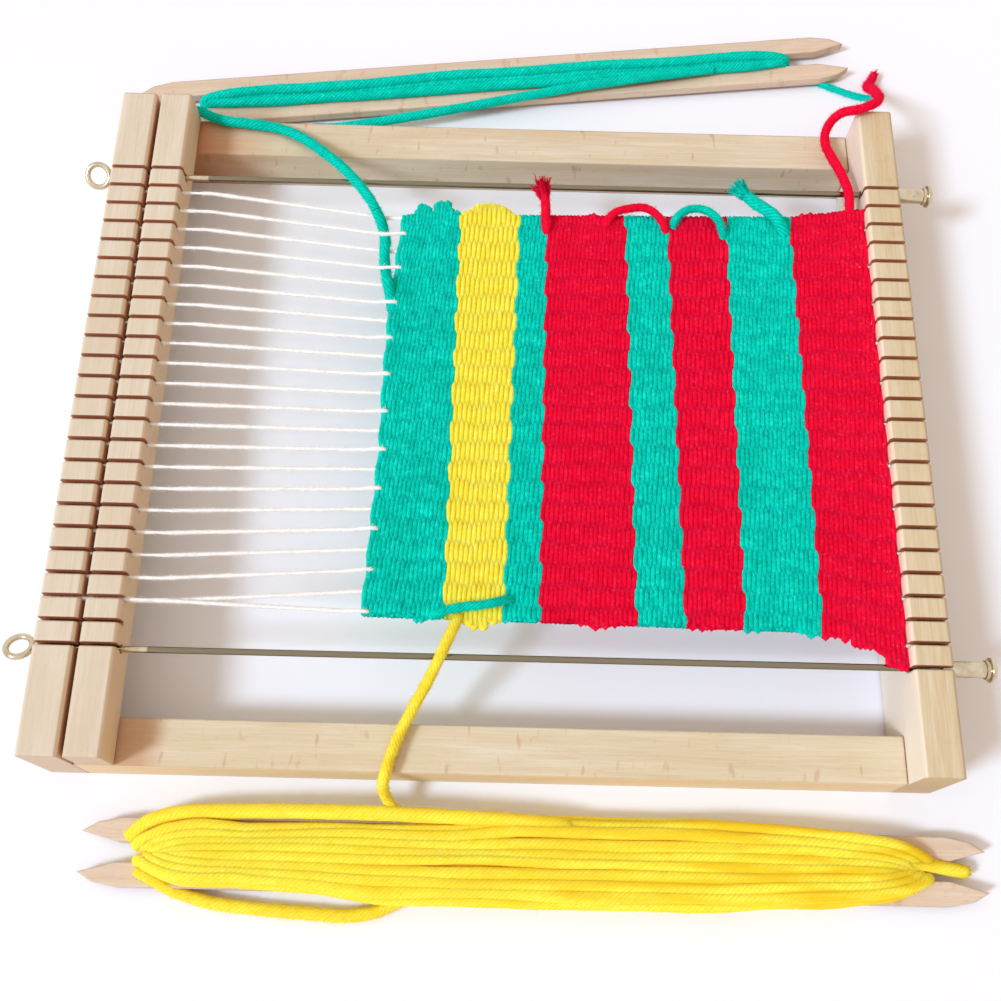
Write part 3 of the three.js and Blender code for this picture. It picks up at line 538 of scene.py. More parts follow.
# Free yarns, along their solids' points; the yellow working yarn starts a little further in under the cloth.
# Sizes are in millimetres, "fibres" for each square metre, "step" in metres
yarn = {"thickness": 4.2, "sides": 40, "plyDepth": 0.16, "woundSides": 14, "unevenness": 0.1,
        "fibres": 2600000.0, "step": 0.0005, "bluntTip": 0.7, "tipReach": 3.0, "seed": 3}
yarnRoutes = {
    "green_working_yarn": [
        (18.9, 40.4, 7.5), (14.5, 38.6, 9), (11.8, 37.6, 13.2), (12, 37.4, 17.4), (15.2, 37.4, 20.4),
        (20, 36.6, 21.8), (25, 34.2, 21.9), (31, 32.4, 21.8), (38, 31.6, 21.7), (47, 30.4, 21.8),
        (56, 28, 21.8), (64, 22.8, 23), (72, 14.4, 26.8), (79, 6.2, 30.4), (85.6, -2.4, 33),
        (90.2, -8.8, 33.6), (92.8, -12.8, 33.3), (94.2, -15.5, 33)],
    "yellow_working_yarn": [
        (130.4, -170.4, 30.7), (129.4, -173.2, 31.3), (127.8, -177.5, 32.3), (125.2, -184, 32.9),
        (121.6, -191.5, 30.4), (116.6, -200, 25.4), (112.6, -207.5, 22.6), (110, -214.5, 22.5),
        (108.4, -220.3, 22.3), (107.6, -223.6, 19.6), (107.4, -225, 15), (108.2, -227.4, 11.4),
        (110.6, -230.4, 9.6), (115.4, -232.2, 9)],
    "red_tail": [
        (272.2, -10.4, 31.4), (272.4, -5, 32.2), (272.4, 0, 31.6), (271.6, 6.6, 30), (270.2, 13.6, 28),
        (268.6, 20.4, 26), (267.6, 26.6, 24.6), (267.7, 31, 25.4), (269.3, 33.2, 30.6), (272.4, 32.6, 36.2),
        (276.4, 32.2, 38), (280.6, 33.6, 38.4), (284.2, 35.8, 38), (286.8, 40.2, 35.6), (288, 47.2, 29.6),
        (289.4, 56, 22), (290.6, 63.4, 14), (293, 70, 7.6), (296, 75.6, 3.6), (298.6, 80.4, 2.4)],
    "green_tail": [
        (266, 79.4, 1.3), (271, 77.2, 1.3), (275.9, 75.2, 1.3), (281.3, 72.8, 1.3), (287.4, 70.3, 1.3),
        (292.6, 68.8, 1.3), (297.6, 68.6, 1.3)],
    "yellow_loose_end": [
        (28, -251.4, 7.6), (34, -254.6, 5.6), (41, -257.8, 3.6), (52, -260.8, 2.5), (66, -262.4, 2.3),
        (82, -263.4, 2.3), (96, -264, 2.3), (105, -262.8, 2.4), (112.5, -259.6, 3.4), (117, -257.4, 4.6)],
}
# "start" is the end of the route where the yarn leaves the cloth or its winding, "fray" the length, number
# and spread of the fibres at a cut end
cordFacts = {
    "green_working_yarn": {"dye": "green", "far": "object", "body": "green_shuttle", "start": -1,
                           "thickness": 3.8},
    "yellow_working_yarn": {"dye": "yellow", "far": "object", "body": "yellow_shuttle", "start": 0,
                            "thickness": 3.6},
    "red_tail": {"dye": "red", "far": "bare", "start": 0, "thickness": 3.5, "fray": (2.6, 24, 1.2)},
    "green_tail": {"dye": "green", "far": "bare", "start": 0, "rides": "green_shuttle", "thickness": 2.6},
    "yellow_loose_end": {"dye": "yellow", "far": "object", "start": 0, "rides": "yellow_shuttle"},
}
# The last few millimetres of a cut end, where the plies come apart
fray = {"off": (0.1, 0.9), "back": (0.001, 0.0035), "reach": (0.5, 1.0), "splay": (0.1, 0.55), "sway": 0.25,
        "steps": 5, "girth": (0.3, 0.08)}


def frayed(path, rng, spread, strands, width):
    tip = path[-1]
    away = (tip - path[-5]).normalized()
    side = away.orthogonal().normalized()
    runs = []
    for strand in range(strands):
        lean = Matrix.Rotation(rng.uniform(0, math.tau), 3, away) @ side
        start = tip + lean * rng.uniform(*fray["off"]) * width * mm - away * rng.uniform(*fray["back"])
        length = spread * rng.uniform(*fray["reach"])
        splay = rng.uniform(*fray["splay"])
        sway = lean.cross(away) * rng.uniform(-fray["sway"], fray["sway"])
        run = []
        for step in range(fray["steps"] + 1):
            share = step / fray["steps"]
            drift = lean * share * splay + sway * share * share
            run.append((start + (away * share + drift) * length * mm, lerp(*fray["girth"], share)))
        runs.append(run)
    return runs


# A path that thins to its tip over the last few millimetres, for points about 0.6 mm apart
def tapered(path, tip, reach):
    last = len(path) - 1
    shares = [min(1.0, (last - index) * 0.6 / reach) for index in range(len(path))]
    return [(point, lerp(tip, 1.0, share)) for point, share in zip(path, shares)]


def woolStrand(name, runs, thickness, dye, seed, wound=None):
    return runTree(name + "_wool", runs, spunYarn, {
        "Thickness": thickness * mm, "Unevenness": yarn["unevenness"],
        "Sides": yarn["woundSides" if wound else "sides"],
        "Ply Depth": 0.0 if wound else yarn["plyDepth"] * mm, "Fibre Density": wound or yarn["fibres"],
        "Fibre Length": 1.0, "Seed": seed, "Material": wool[dye]})


def addCords():
    rng = random.Random(yarn["seed"])
    for name, route in yarnRoutes.items():
        facts = cordFacts[name]
        thickness = facts.get("thickness", yarn["thickness"])
        path = smoothPath(places(route), yarn["step"])
        bare = facts["far"] == "bare"
        runs = [tapered(path, yarn["bluntTip"], yarn["tipReach"]) if bare else evenRun(path)]
        if "fray" in facts:
            runs += frayed(path, rng, *facts["fray"])
        piece = woolStrand(name, runs, thickness, facts["dye"], yarn["seed"])
        if "body" in facts:
            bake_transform(piece)
        else:
            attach(piece, facts.get("rides", "frame"))
        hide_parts(name)


addCords()
print("stage: free yarns")

# Where the warp runs, the same course as the solids; "turnOut" is how far its turns stand off the bars,
# "free" and "hidden" are shares of its thickness outside and inside the cloth. "leftEdge" and "rightEdge"
# are the first and the last pass's Y there. The last two passes share a left kerf, the last one on top by
# "shareRise", and every other pass lies "overRise" higher at the cloth's left edge
warp = {
    "passes": 22, "pitch": 8.0, "height": 30.45, "rightShift": -1.1, "rightBar": 284.4, "barHalf": 6.6,
    "drawIn": 31.3, "clothLeft": 99.6, "clothRight": 277.5, "farLeft": 104.8, "nearLeft": 98.4,
    "turnOut": 0.75, "thread": 1.6, "kerfThread": 1.15, "free": 0.88, "hidden": 0.6, "unevenness": 0.45,
    "sides": 8, "fibres": 2600000.0, "fibreLength": 0.9, "seed": 5, "leftEdge": (-17.0, -170.0),
    "rightEdge": (-13.6, -171.8), "corner": 0.7, "shareRise": 1.25, "overRise": 1.2, "endDrop": 2.6,
    "knotDrop": 3.2, "knotWidth": 0.8, "lastLeftKerf": 21,
}
# Each stripe's share of the cloth's width at the far and at the near edge
stripes = [
    ("green_band_1", "green", 0.12, 0.15), ("yellow_band_1", "yellow", 0.13, 0.11),
    ("green_band_2", "green", 0.059, 0.068), ("red_band_1", "red", 0.17, 0.178),
    ("green_band_3", "green", 0.091, 0.09), ("red_band_2", "red", 0.129, 0.11),
    ("green_band_4", "green", 0.138, 0.143), ("red_band_3", "red", 0.163, 0.151),
]


def stripeStart(index, near):
    share = sum(stripe[3 if near else 2] for stripe in stripes[:index])
    return lerp(warp["nearLeft"] if near else warp["farLeft"], warp["clothRight"], share)


def warpCourse(number):
    share = number / (warp["passes"] - 1)
    leftY = -min(number + 1, warp["lastLeftKerf"]) * warp["pitch"]
    rightY = warp["rightShift"] - (number + 1) * warp["pitch"]
    return [
        (warp["drawIn"], leftY),
        (warp["clothLeft"], lerp(*warp["leftEdge"], share)),
        (stripeStart(7, True), lerp(*warp["rightEdge"], share)),
        (warp["rightBar"] - warp["barHalf"] - 0.25, rightY),
    ]


def warpY(number, x):
    course = warpCourse(number)
    index = 0
    while index < 2 and x > course[index + 1][0]:
        index += 1
    (fromX, fromY), (toX, toY) = course[index], course[index + 1]
    return lerp(fromY, toY, (x - fromX) / (toX - fromX))


# Warp: one white thread that goes to and fro; its stretches inside the cloth don't show and are left out
def addWarp():
    runs = []
    leftOut = -warp["barHalf"] - warp["turnOut"]
    rightOut = warp["rightBar"] + warp["barHalf"] + warp["turnOut"]
    inKerf = warp["kerfThread"] / warp["thread"]
    free, hidden, z = warp["free"], warp["hidden"], warp["height"]
    last = warp["passes"] - 1

    def fill(points, step=1.2):
        run = []
        for (start, girth), (end, nextGirth) in zip(points, points[1:]):
            count = max(1, round((end - start).length * 1000 / step))
            for part in range(count):
                share = part / count
                run.append((start.lerp(end, share), lerp(girth, nextGirth, share)))
        run.append(points[-1])
        return run

    def bend(x, y, nextY):
        return [(at(x, y - warp["corner"], z), inKerf), (at(x, nextY + warp["corner"], z), inKerf)]

    def leftSide(number):
        y = warpCourse(number)[0][1]
        level = z + warp["shareRise"] if number == last else z
        edge = pickX(0, 0, (number + 0.5) / warp["passes"])
        shown = z + warp["overRise"] if number % 2 else z
        marks = [(leftOut + 0.6, level, inKerf), (30.4, level, inKerf), (warp["drawIn"], level, 0.8),
                 (34, level, free), (edge - 6, z, free), (edge - 1, shown, free), (edge + 1.2, shown, free),
                 (edge + 3, z - 0.6, hidden)]
        return [(at(x, y if x <= warp["drawIn"] else warpY(number, x), height), girth)
                for x, height, girth in marks]

    def rightSide(number):
        marks = [(at(x, warpY(number, x), z), girth) for x, girth in ((272.0, hidden), (277.3, inKerf))]
        return marks + [(at(rightOut - 0.6, warpCourse(number)[3][1], z), inKerf)]

    for number in range(warp["passes"]):
        left = leftSide(number)
        y = warpCourse(number)[0][1]
        if number in (0, last):
            end = at(leftOut, y, z - warp["endDrop"])
            corner = at(leftOut, y, left[0][0].z * 1000)
            runs.append(fill([(end, inKerf), (corner, inKerf)] + left, 0.8))
        elif number % 2 == 1:
            turn = bend(leftOut, y, warpCourse(number + 1)[0][1])
            runs.append(fill(left[::-1] + turn + leftSide(number + 1)))
    for number in range(0, warp["passes"], 2):
        turn = bend(rightOut, warpCourse(number)[3][1], warpCourse(number + 1)[3][1])
        runs.append(fill(rightSide(number) + turn + rightSide(number + 1)[::-1]))

    for number in (0, last):  # the knots at the thread's two ends, each with a short tail
        centre = at(leftOut - 0.1, warpCourse(number)[0][1], z - warp["knotDrop"])
        angles = [step / 40 * math.tau * 3 for step in range(40)]
        wide = warp["knotWidth"]
        knot = [(0.3 * math.sin(a * 2 / 3), wide * math.cos(a), wide * math.sin(a * 1.34)) for a in angles]
        tail = [(0, 0.25 * math.sin(step), -0.9 * step) for step in range(8)]
        for offsets in (knot, tail):
            runs.append([(centre + Vector(offset) * mm, hidden) for offset in offsets])
    piece = runTree("warp_cotton_thread", runs, spunYarn, {
        "Thickness": warp["thread"] * mm, "Unevenness": warp["unevenness"], "Sides": warp["sides"],
        "Fibre Density": warp["fibres"], "Fibre Length": warp["fibreLength"], "Seed": warp["seed"],
        "Material": cotton})
    settle(piece, "frame", "warp_thread")


# Cloth: every pick of weft goes over and under the warp and turns back at the selvage. A pick runs past the
# outer passes by "overshoot" before its turn, and "pinch" is its girth between the passes
cloth = {
    "pickPitch": 0.8, "lift": 0.34, "width": 2.0, "height": 1.8, "beats": 6, "fibres": 150000.0,
    "fibreLength": 0.9, "sides": 8, "unevenness": 0.1, "wave": 0.25, "lean": 0.14, "slip": 0.13,
    "wander": 0.22, "bump": 3.6, "farBump": 1.5, "nearBump": 2.2, "groundThickness": 0.6, "groundParts": 4,
    "pickSeed": 7, "fibreSeed": 20, "jitter": 0.08, "overshoot": 0.8, "overshootSwing": 0.7,
    "turnJitter": 0.15, "leastTurn": 0.9, "halfPick": 1.0, "pinch": 0.92, "turnLift": (-0.3, 0.5),
    "turnHalf": 0.42, "turnBack": 0.5,
}
# How far the selvages reach, as (x, y)
farReach = [
    (104, -16.5), (108.6, -14.2), (109.8, -10.6), (112.2, -10.4), (113.6, -13.2), (115.4, -13.2),
    (116.8, -9.6), (120.2, -9.4), (122.2, -12.8), (128, -13.4), (131, -10.4), (135, -10), (139, -9.6),
    (142, -11.6), (145, -13.6), (148, -15), (154, -15.4), (160, -16), (166, -16), (171, -13.6),
    (175, -12.6), (181, -14.6), (186, -16.4), (192, -17.4), (198, -18.6), (203, -16.4), (207, -14.2),
    (216, -13.6), (221, -16.6), (228, -13.8), (235, -13.6), (243, -14), (248, -15.4), (251, -12.4),
    (256, -9.8), (262, -10.4), (268, -9.6), (277.5, -8.8),
]
nearReach = [
    (97.5, -168.6), (105, -169.6), (112, -170.6), (116, -172.6), (119, -172.6), (124, -170.6),
    (129, -170.6), (134, -174), (138, -174.4), (143, -172), (149, -171.4), (154, -171.6), (160, -170.8),
    (166, -171), (171, -172.4), (174, -173.6), (180, -173), (186, -171.6), (192, -170.8), (200, -171.2),
    (208, -173), (214, -173), (219, -172.2), (226, -173.6), (233, -172.2), (240, -172.6), (246, -174.4),
    (250, -174.6), (254, -174.4), (258, -175.8), (263, -178), (268, -178.4), (270.5, -182), (273, -184),
    (276, -185), (277.5, -183.6),
]


def reachAt(marks, x):
    for (fromX, fromY), (toX, toY) in zip(marks, marks[1:]):
        if x <= toX:
            return lerp(fromY, toY, max(0.0, (x - fromX) / (toX - fromX)))
    return marks[-1][1]


# The rounded turns of the weft along a selvage
def scallop(x, height):
    return height * abs(math.sin(math.pi * (x + 0.4 * math.sin(x)) / cloth["bump"])) ** 0.6 - 0.9


def pickX(band, share, down):
    start = lerp(stripeStart(band, False), stripeStart(band, True), down)
    end = lerp(stripeStart(band + 1, False), stripeStart(band + 1, True), down)
    if band == 0:
        start -= 1.6 * math.sin(math.pi * min(1.0, down / 0.6))
    return lerp(start, end, share)


# A pick's way from the first pass to the last: X, Y and how far it is over (1) or under (-1) the warp.
# The two outer picks at each side of a stripe wave to and fro as they go over and under
def crossing(band, pick, count, parity, rng):
    passes, beats = warp["passes"], cloth["beats"]
    slip = rng.uniform(-cloth["slip"], cloth["slip"])
    outer = max(0, 3 - count + pick) - max(0, 2 - pick)
    way = []
    for step in range((passes - 1) * beats + 1):
        place = step / beats
        number = min(int(place), passes - 2)
        x = pickX(band, (pick + 0.5) / count, (place + 0.5) / passes)
        y = lerp(warpY(number, x), warpY(number + 1, x), place - number)
        wander = noise.noise(Vector((x * 0.11, place * 0.5, 4)))
        phase = math.pi * (place + parity + slip + cloth["wander"] * wander)
        swing = math.cos(phase)
        x -= cloth["lean"] * math.sin(phase)
        x += cloth["wave"] * swing * outer / 2
        way.append((x + cloth["jitter"] * rng.uniform(-1, 1), y, swing))
    return way


# A pick and, but for a stripe's last one, its turn at the selvage
def pickRun(band, pick, count, parity, rng):
    way = crossing(band, pick, count, parity, rng)
    (farX, farY, farSwing), (nearX, nearY, nearSwing) = way[0], way[-1]
    over, fade = cloth["overshoot"], cloth["overshootSwing"]
    way.insert(0, (farX, farY + over, farSwing * fade))
    way.append((nearX, nearY - over, nearSwing * fade))
    least, half, uneven = cloth["leastTurn"], cloth["halfPick"], cloth["turnJitter"]
    bulge = scallop(farX, cloth["farBump"]) + rng.uniform(-uneven, uneven)
    turnFar = max(farY + least, reachAt(farReach, farX) - half + bulge)
    bulge = scallop(nearX, cloth["nearBump"]) - rng.uniform(-uneven, uneven)
    turnNear = min(nearY - least, reachAt(nearReach, nearX) + half - bulge)
    down, turnY, edgeY, back = 1.0, turnNear, nearY, cloth["turnBack"]
    if pick % 2:
        way.reverse()
        down, turnY, edgeY, back = 0.0, turnFar, farY, -cloth["turnBack"]
    run = []
    for x, y, swing in way:
        girth = 1.0 if abs(swing) > 0.4 else cloth["pinch"]
        run.append((at(x, y, warp["height"] + swing * cloth["lift"]), girth))
    if pick < count - 1:
        turnX = pickX(band, (pick + 1.0) / count, down)
        z = warp["height"] + rng.uniform(*cloth["turnLift"])
        lump = 0.9 + min(0.45, max(0.0, abs(turnY - edgeY) - 2.2) * 0.2)
        for aside, inward in ((-cloth["turnHalf"], back), (0, 0), (cloth["turnHalf"], back)):
            run.append((at(turnX + aside, turnY + inward, z), lump))
    return run


def addCloth():
    rng = random.Random(cloth["pickSeed"])
    picks = 0
    pieces = []
    for band, stripe in enumerate(stripes):
        name, dye = stripe[:2]
        width = stripeStart(band + 1, True) - stripeStart(band, True)
        count = max(2, round(width / cloth["pickPitch"]))
        run = []
        for pick in range(count):
            run += pickRun(band, pick, count, picks + pick, rng)
        picks += count
        piece = runTree(name + "_weft", [run], beatenWeft, {
            "Width": cloth["width"] * mm, "Height": cloth["height"] * mm, "Unevenness": cloth["unevenness"],
            "Sides": cloth["sides"], "Fibre Density": cloth["fibres"], "Fibre Length": cloth["fibreLength"],
            "Seed": cloth["fibreSeed"] + band, "Material": weftWool[dye]})
        settle(piece, "frame", name)
        pieces.append(piece)
    return pieces


# The cloth's own sheet, in the middle of the weave, in the stripes' shade tones darkened further: painted
# shade seen between the picks
def addGround():
    material, tree, surface, place = newMaterial("cloth_ground")
    dyed = addNode(tree, "ShaderNodeAttribute", attribute_name="dye").outputs["Color"]
    mottle = noiseAt(tree, place, woolGrain["mottle"], 3.0)
    # painted shade: the sheet is darkened by mottled noise up to half way to black
    body = blendColours(tree, ranged(tree, mottle, 0.3, 0.7, 0.0, 0.5), dyed, (0, 0, 0, 1))
    wire(tree, surface, {
        "Base Color": body, "Normal": bumped(tree, mottle, 0.4, woolGrain["bumpDepth"]),
        "Roughness": woolFinish["Roughness"], "Specular IOR Level": woolFinish["Specular IOR Level"]})

    points, faces, paintedShadeTones = [], [], []
    passes, parts = warp["passes"], cloth["groundParts"]
    for band, stripe in enumerate(stripes):
        for part in range(parts):
            base = len(points)
            for step in range(passes):
                for share in (part / parts, (part + 1) / parts):
                    x = pickX(band, share, (step + 0.5) / passes)
                    points.append(at(x, warpY(step, x), warp["height"]))
            for corner in range(base, base + (passes - 1) * 2, 2):
                faces.append((corner, corner + 2, corner + 3, corner + 1))
                paintedShadeTones.append(woolTones[stripe[1]]["shade"])
    mesh = bpy.data.meshes.new("cloth_ground")
    mesh.from_pydata(points, [], faces)
    shades = mesh.attributes.new("dye", "FLOAT_COLOR", "FACE")
    for item, tone in zip(shades.data, paintedShadeTones):
        item.color = tone
    ground = linked("cloth_ground", mesh)
    welded = bmesh.new()
    welded.from_mesh(mesh)
    bmesh.ops.remove_doubles(welded, verts=welded.verts, dist=0.00002)
    bmesh.ops.recalc_face_normals(welded, faces=welded.faces)
    welded.to_mesh(mesh)
    welded.free()
    thick = ground.modifiers.new("thickness", "SOLIDIFY")
    thick.thickness = cloth["groundThickness"] * mm
    thick.offset = 0
    dress(ground, material)
    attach(ground, "frame")
    return ground


weftPieces = addCloth()
ground = addGround()
addWarp()
print("stage: cloth and warp")

# Short ends and floats of weft on top of the cloth, and the green weft on its way in: dye, thickness, points
cutEnd = {"names": ("red_weft_end", "green_weft_end"), "tip": 0.6, "reach": 4.0, "fray": (6.5, 60, 2.2),
          "step": 0.0006, "fraySeed": 17, "fibreSeed": 9}
weftEnds = {
    "red_weft_end": ("red", 3.4, [
        (158, -22, 30.4), (158, -20, 32.4), (157.6, -16.6, 34.2), (157.4, -11.6, 34.6), (157, -8, 34.6),
        (156.4, -5.4, 34.4)]),
    "red_weft_float": ("red", 3.0, [
        (180, -18.4, 30.6), (181, -16.6, 32.6), (183.4, -14.4, 34), (188, -12.8, 34.3),
        (194.6, -12.2, 34.3), (199, -14.8, 34), (202, -18.6, 32.4), (202.6, -20.4, 30.6)]),
    "green_weft_loop": ("green", 3.0, [
        (205.2, -18.2, 30.6), (206, -16.4, 32.6), (208.6, -13.6, 34), (213.4, -11.8, 34.2),
        (218.4, -13, 34.2), (222, -16.6, 34), (223.6, -20.4, 32.4), (224, -22.4, 30.6)]),
    "green_weft_end": ("green", 4.4, [
        (247.4, -20, 30.4), (246, -17.6, 32.4), (243.2, -14.4, 34.2), (239.6, -11.6, 34.6), (236, -9, 34.6),
        (233.4, -6.2, 34.4), (231.4, -3.6, 34)]),
    "green_weft_float": ("green", 3.0, [
        (121.4, -171, 30.8), (123.6, -170.4, 32.8), (127, -169.4, 34), (132, -168.4, 34.2),
        (138, -167.6, 34.2), (143, -166.4, 34), (146, -165.2, 32.8), (147.6, -164.6, 30.8)]),
    "green_weft_strand": ("green", 4.0, [
        (94.2, -15.6, 33), (95.8, -18.6, 32), (97.2, -22.4, 28.6), (98, -26.5, 29), (98.2, -30.4, 32.4),
        (98.1, -34, 30.6), (98.6, -38.4, 28.4), (99.4, -42.6, 30.4), (100.2, -46, 32.6), (101, -49.6, 30.6),
        (101.8, -53.5, 28.6), (102.8, -57.5, 30)]),
}


def addWeftEnds():
    rng = random.Random(cutEnd["fraySeed"])
    pieces = []
    for name, (dye, thickness, steps) in weftEnds.items():
        path = smoothPath(places(steps), cutEnd["step"])
        runs = [evenRun(path)]
        if name in cutEnd["names"]:
            runs = [tapered(path, cutEnd["tip"], cutEnd["reach"])] + frayed(path, rng, *cutEnd["fray"])
        pieces.append(woolStrand(name, runs, thickness, dye, cutEnd["fibreSeed"]))
        settle(pieces[-1], "frame", name)
    return pieces


weftPieces += addWeftEnds()
print("stage: weft ends")

# Wool wound on the stick shuttles: each loop goes through both notches, over the stick and under it.
# "upper" are the turns on top of the first layer, and "strands" lie loose on the winding. "pinches" are
# where the turns draw together: from which side, how far, and between which places along the stick
windings = {
    "yellow_winding": {
        "dye": "yellow", "centre": (156.9, -246.0), "turn": 0.0, "thickness": 4.3, "deepest": 118.5,
        "spread": 3.5, "loops": 8, "upper": (-10.4, -7.3, -4.1, -0.9, 2.2, 5.4, 8.6, 11.6), "seed": 31,
        "fibres": 200000.0, "pinches": [(3, 0.36, -108, -6), (-3, 0.25, -112, -50)],
        "strands": [
            {"step": 0.001, "girth": 1.05, "fray": (2.0, 8, 1.6), "points": [
                (256, -243.6, 9.6), (266, -243.4, 9.4), (276, -243.6, 8.6), (284, -244, 7.4),
                (291, -244.8, 5.6), (297, -245.6, 4.2), (300.6, -246, 3.4)]},
            {"step": 0.002, "girth": 1.15, "points": [
                (24, -241.4, 5.6), (30, -236.6, 7.2), (40, -233.6, 8.4), (60, -232.6, 9.6),
                (85, -232.2, 10.4), (110, -232.4, 10.8), (135, -233, 10.6), (150, -233.6, 10.2),
                (162, -234.4, 9.6), (170, -235.6, 8.6), (175, -237.4, 6.6)]}],
    },
    "green_winding": {
        "dye": "green", "centre": (138.0, 67.9), "turn": 6.8, "thickness": 4.0, "deepest": 118.5,
        "spread": 2.9, "loops": 3, "upper": (1.6,), "seed": 47, "fibres": 500000.0, "pinches": [],
        "strands": [
            {"step": 0.002, "girth": 0.95, "points": [
                (62, 44, 4), (70, 43.2, 5.4), (80, 44, 6.4), (96, 46.6, 7.6), (112, 50, 8),
                (130, 54.4, 8.2), (150, 59.2, 8.6), (170, 63.6, 9.4), (190, 67.4, 9.8), (210, 71.4, 9.6),
                (228, 75.4, 8.6)]}],
    },
}
stick = {"z": 4.15, "thickness": 3.5, "halfWidth": 11.0}
# "pressed" is the share of its thickness that a turn keeps under the stick, "rankReach" and "layerReach" how
# much further along the stick the outer and the upper turns reach
turns = {"step": 0.0022, "wander": 1.1, "pressed": 0.56, "gap": 0.02, "drift": 0.8, "rankReach": 2.6,
         "layerReach": 2.5, "layerRise": 1.15, "sink": 0.35, "sag": 0.55, "notchHalf": 2.8, "underZ": 1.25}


def windingRows(facts, rng):
    radius = facts["thickness"] / 2
    middle = (facts["loops"] - 1) / 2
    loops = [((index - middle) * facts["spread"], 0) for index in range(facts["loops"])]
    rng.shuffle(loops)
    loops += [(y, 1) for y in facts["upper"]]
    faceZ = stick["z"] + stick["thickness"] / 2

    def topLevel(y, layer):
        past = max(0.0, abs(y) - stick["halfWidth"] + 1.5)
        return faceZ + radius - turns["sink"] - past * turns["sag"] + layer * radius * turns["layerRise"]

    rows = []
    for y, layer in loops:
        rank = abs(y) / facts["spread"]
        side = 1 if y >= 0 else -1
        x = facts["deepest"] + rank * turns["rankReach"] + layer * turns["layerReach"]
        drift = rng.uniform(-turns["drift"], turns["drift"])
        narrow = side * min(turns["notchHalf"], abs(y) * 0.26)
        half = [
            (x * 0.30, y + drift * 0.5, topLevel(y, layer)),
            (x * 0.58, y * 0.96 - drift * 0.4, topLevel(y, layer)),
            (x * 0.80, y * 0.80, topLevel(y * 0.8, layer)),
            (x * 0.93, y * 0.50 + narrow * 0.3, topLevel(y * 0.5, layer * 0.8)),
            (x - 0.6, narrow, faceZ + radius * 0.5),
            (x + 0.3, narrow * 0.9, stick["z"]),
            (x - 0.8, narrow, 2.0),
        ]
        low = [(px * 0.995, py, turns["underZ"]) for px, py, pz in half[:4]]
        rows += [(-px, py, pz) for px, py, pz in reversed(half)] + half
        rows += list(reversed(low)) + [(-px, py, pz) for px, py, pz in low]
    return rows


def addWinding(name):
    facts = windings[name]
    rng = random.Random(facts["seed"])
    turn = Matrix.Rotation(math.radians(facts["turn"]), 3, "Z")
    base = at(*facts["centre"], 0)
    points = [base + turn @ (Vector(row) * mm) for row in windingRows(facts, rng)]
    run = []
    for point in smoothPath(points, turns["step"]):
        local = turn.inverted() @ (point - base) * 1000
        inner = clamped((120 - abs(local.x)) / 24)
        wander = noise.noise(Vector((local.x * 0.028, local.y * 0.4, facts["seed"])))
        local.y += wander * turns["wander"] * inner
        for side, amount, left, right in facts["pinches"]:
            aside = clamped((local.x - left) / 14) * clamped((right - local.x) / 20)
            if local.y * side > side * side:
                local.y -= (local.y - side) * amount * aside
        pressed = turns["pressed"]
        share = min(1.0, max(pressed, (local.z - 1.2) / 4 + pressed))
        world = base + turn @ (local * mm)
        world.z = max(world.z, (facts["thickness"] / 2 * share + turns["gap"]) * mm)
        run.append((world, share))
    runs = [run]
    for strand in facts["strands"]:
        path = smoothPath(places(strand["points"]), strand["step"])
        runs.append(evenRun(path, strand["girth"]))
        if "fray" in strand:
            runs[-1][-2:] = evenRun(path[-2:], 0.55)
            runs += frayed(path, rng, *strand["fray"])
    piece = woolStrand(name, runs, facts["thickness"], facts["dye"], facts["seed"], facts["fibres"])
    settle(piece, name.replace("winding", "shuttle"), name)


addWinding("yellow_winding")
addWinding("green_winding")
print("stage: windings")

# Rods with bent eyes and headed barrel nuts, remade smooth
metal = {
    "rodZ": 28.7, "eyeX": -13.1, "ringRadius": 4.2, "wire": 1.05, "rod": 1.1,
    "tilt": {"back": 35, "front": -24}, "y": {"back": 0.0, "front": -184.0},
    "nutOut": {"back": 0.0, "front": 1.6}, "barrelLeft": 287.0, "barrel": 2.7, "barrelLength": 15.8,
    "head": 4.15, "headThickness": 2.6,
}


def ringAt(mesh, sides, corner):
    return [mesh.verts.new(corner(step / sides * math.tau)) for step in range(sides)]


def sweptBody(mesh, points, radius, sides, closed):
    count = len(points)
    rings = []
    normal = None
    for index, point in enumerate(points):
        before = points[index - 1] if closed or index else point
        after = points[(index + 1) % count] if closed or index < count - 1 else point
        along = (after - before).normalized()
        normal = along.orthogonal() if normal is None else normal - along * normal.dot(along)
        normal.normalize()
        across = along.cross(normal)
        rings.append(ringAt(mesh, sides, lambda a: (
            point + (normal * math.cos(a) + across * math.sin(a)) * radius)))
    for index in range(count if closed else count - 1):
        first, second = rings[index], rings[(index + 1) % count]
        for step in range(sides):
            other = (step + 1) % sides
            mesh.faces.new((first[step], first[other], second[other], second[step]))
    if not closed:
        mesh.faces.new(rings[0])
        mesh.faces.new(reversed(rings[-1]))


def turnedBody(mesh, profile, y, z, sides):
    rings = []
    for radius, x in profile:
        if radius == 0:
            rings.append([mesh.verts.new(at(x, y, z))])
        else:
            rings.append(ringAt(mesh, sides, lambda a: (
                at(x, y + radius * math.cos(a), z + radius * math.sin(a)))))
    for first, second in zip(rings, rings[1:]):
        for step in range(sides):
            other = (step + 1) % sides
            corners = [first[step % len(first)], first[other % len(first)], second[other % len(second)],
                       second[step % len(second)]]
            mesh.faces.new(list(dict.fromkeys(corners)))  # a pole's corner counts once


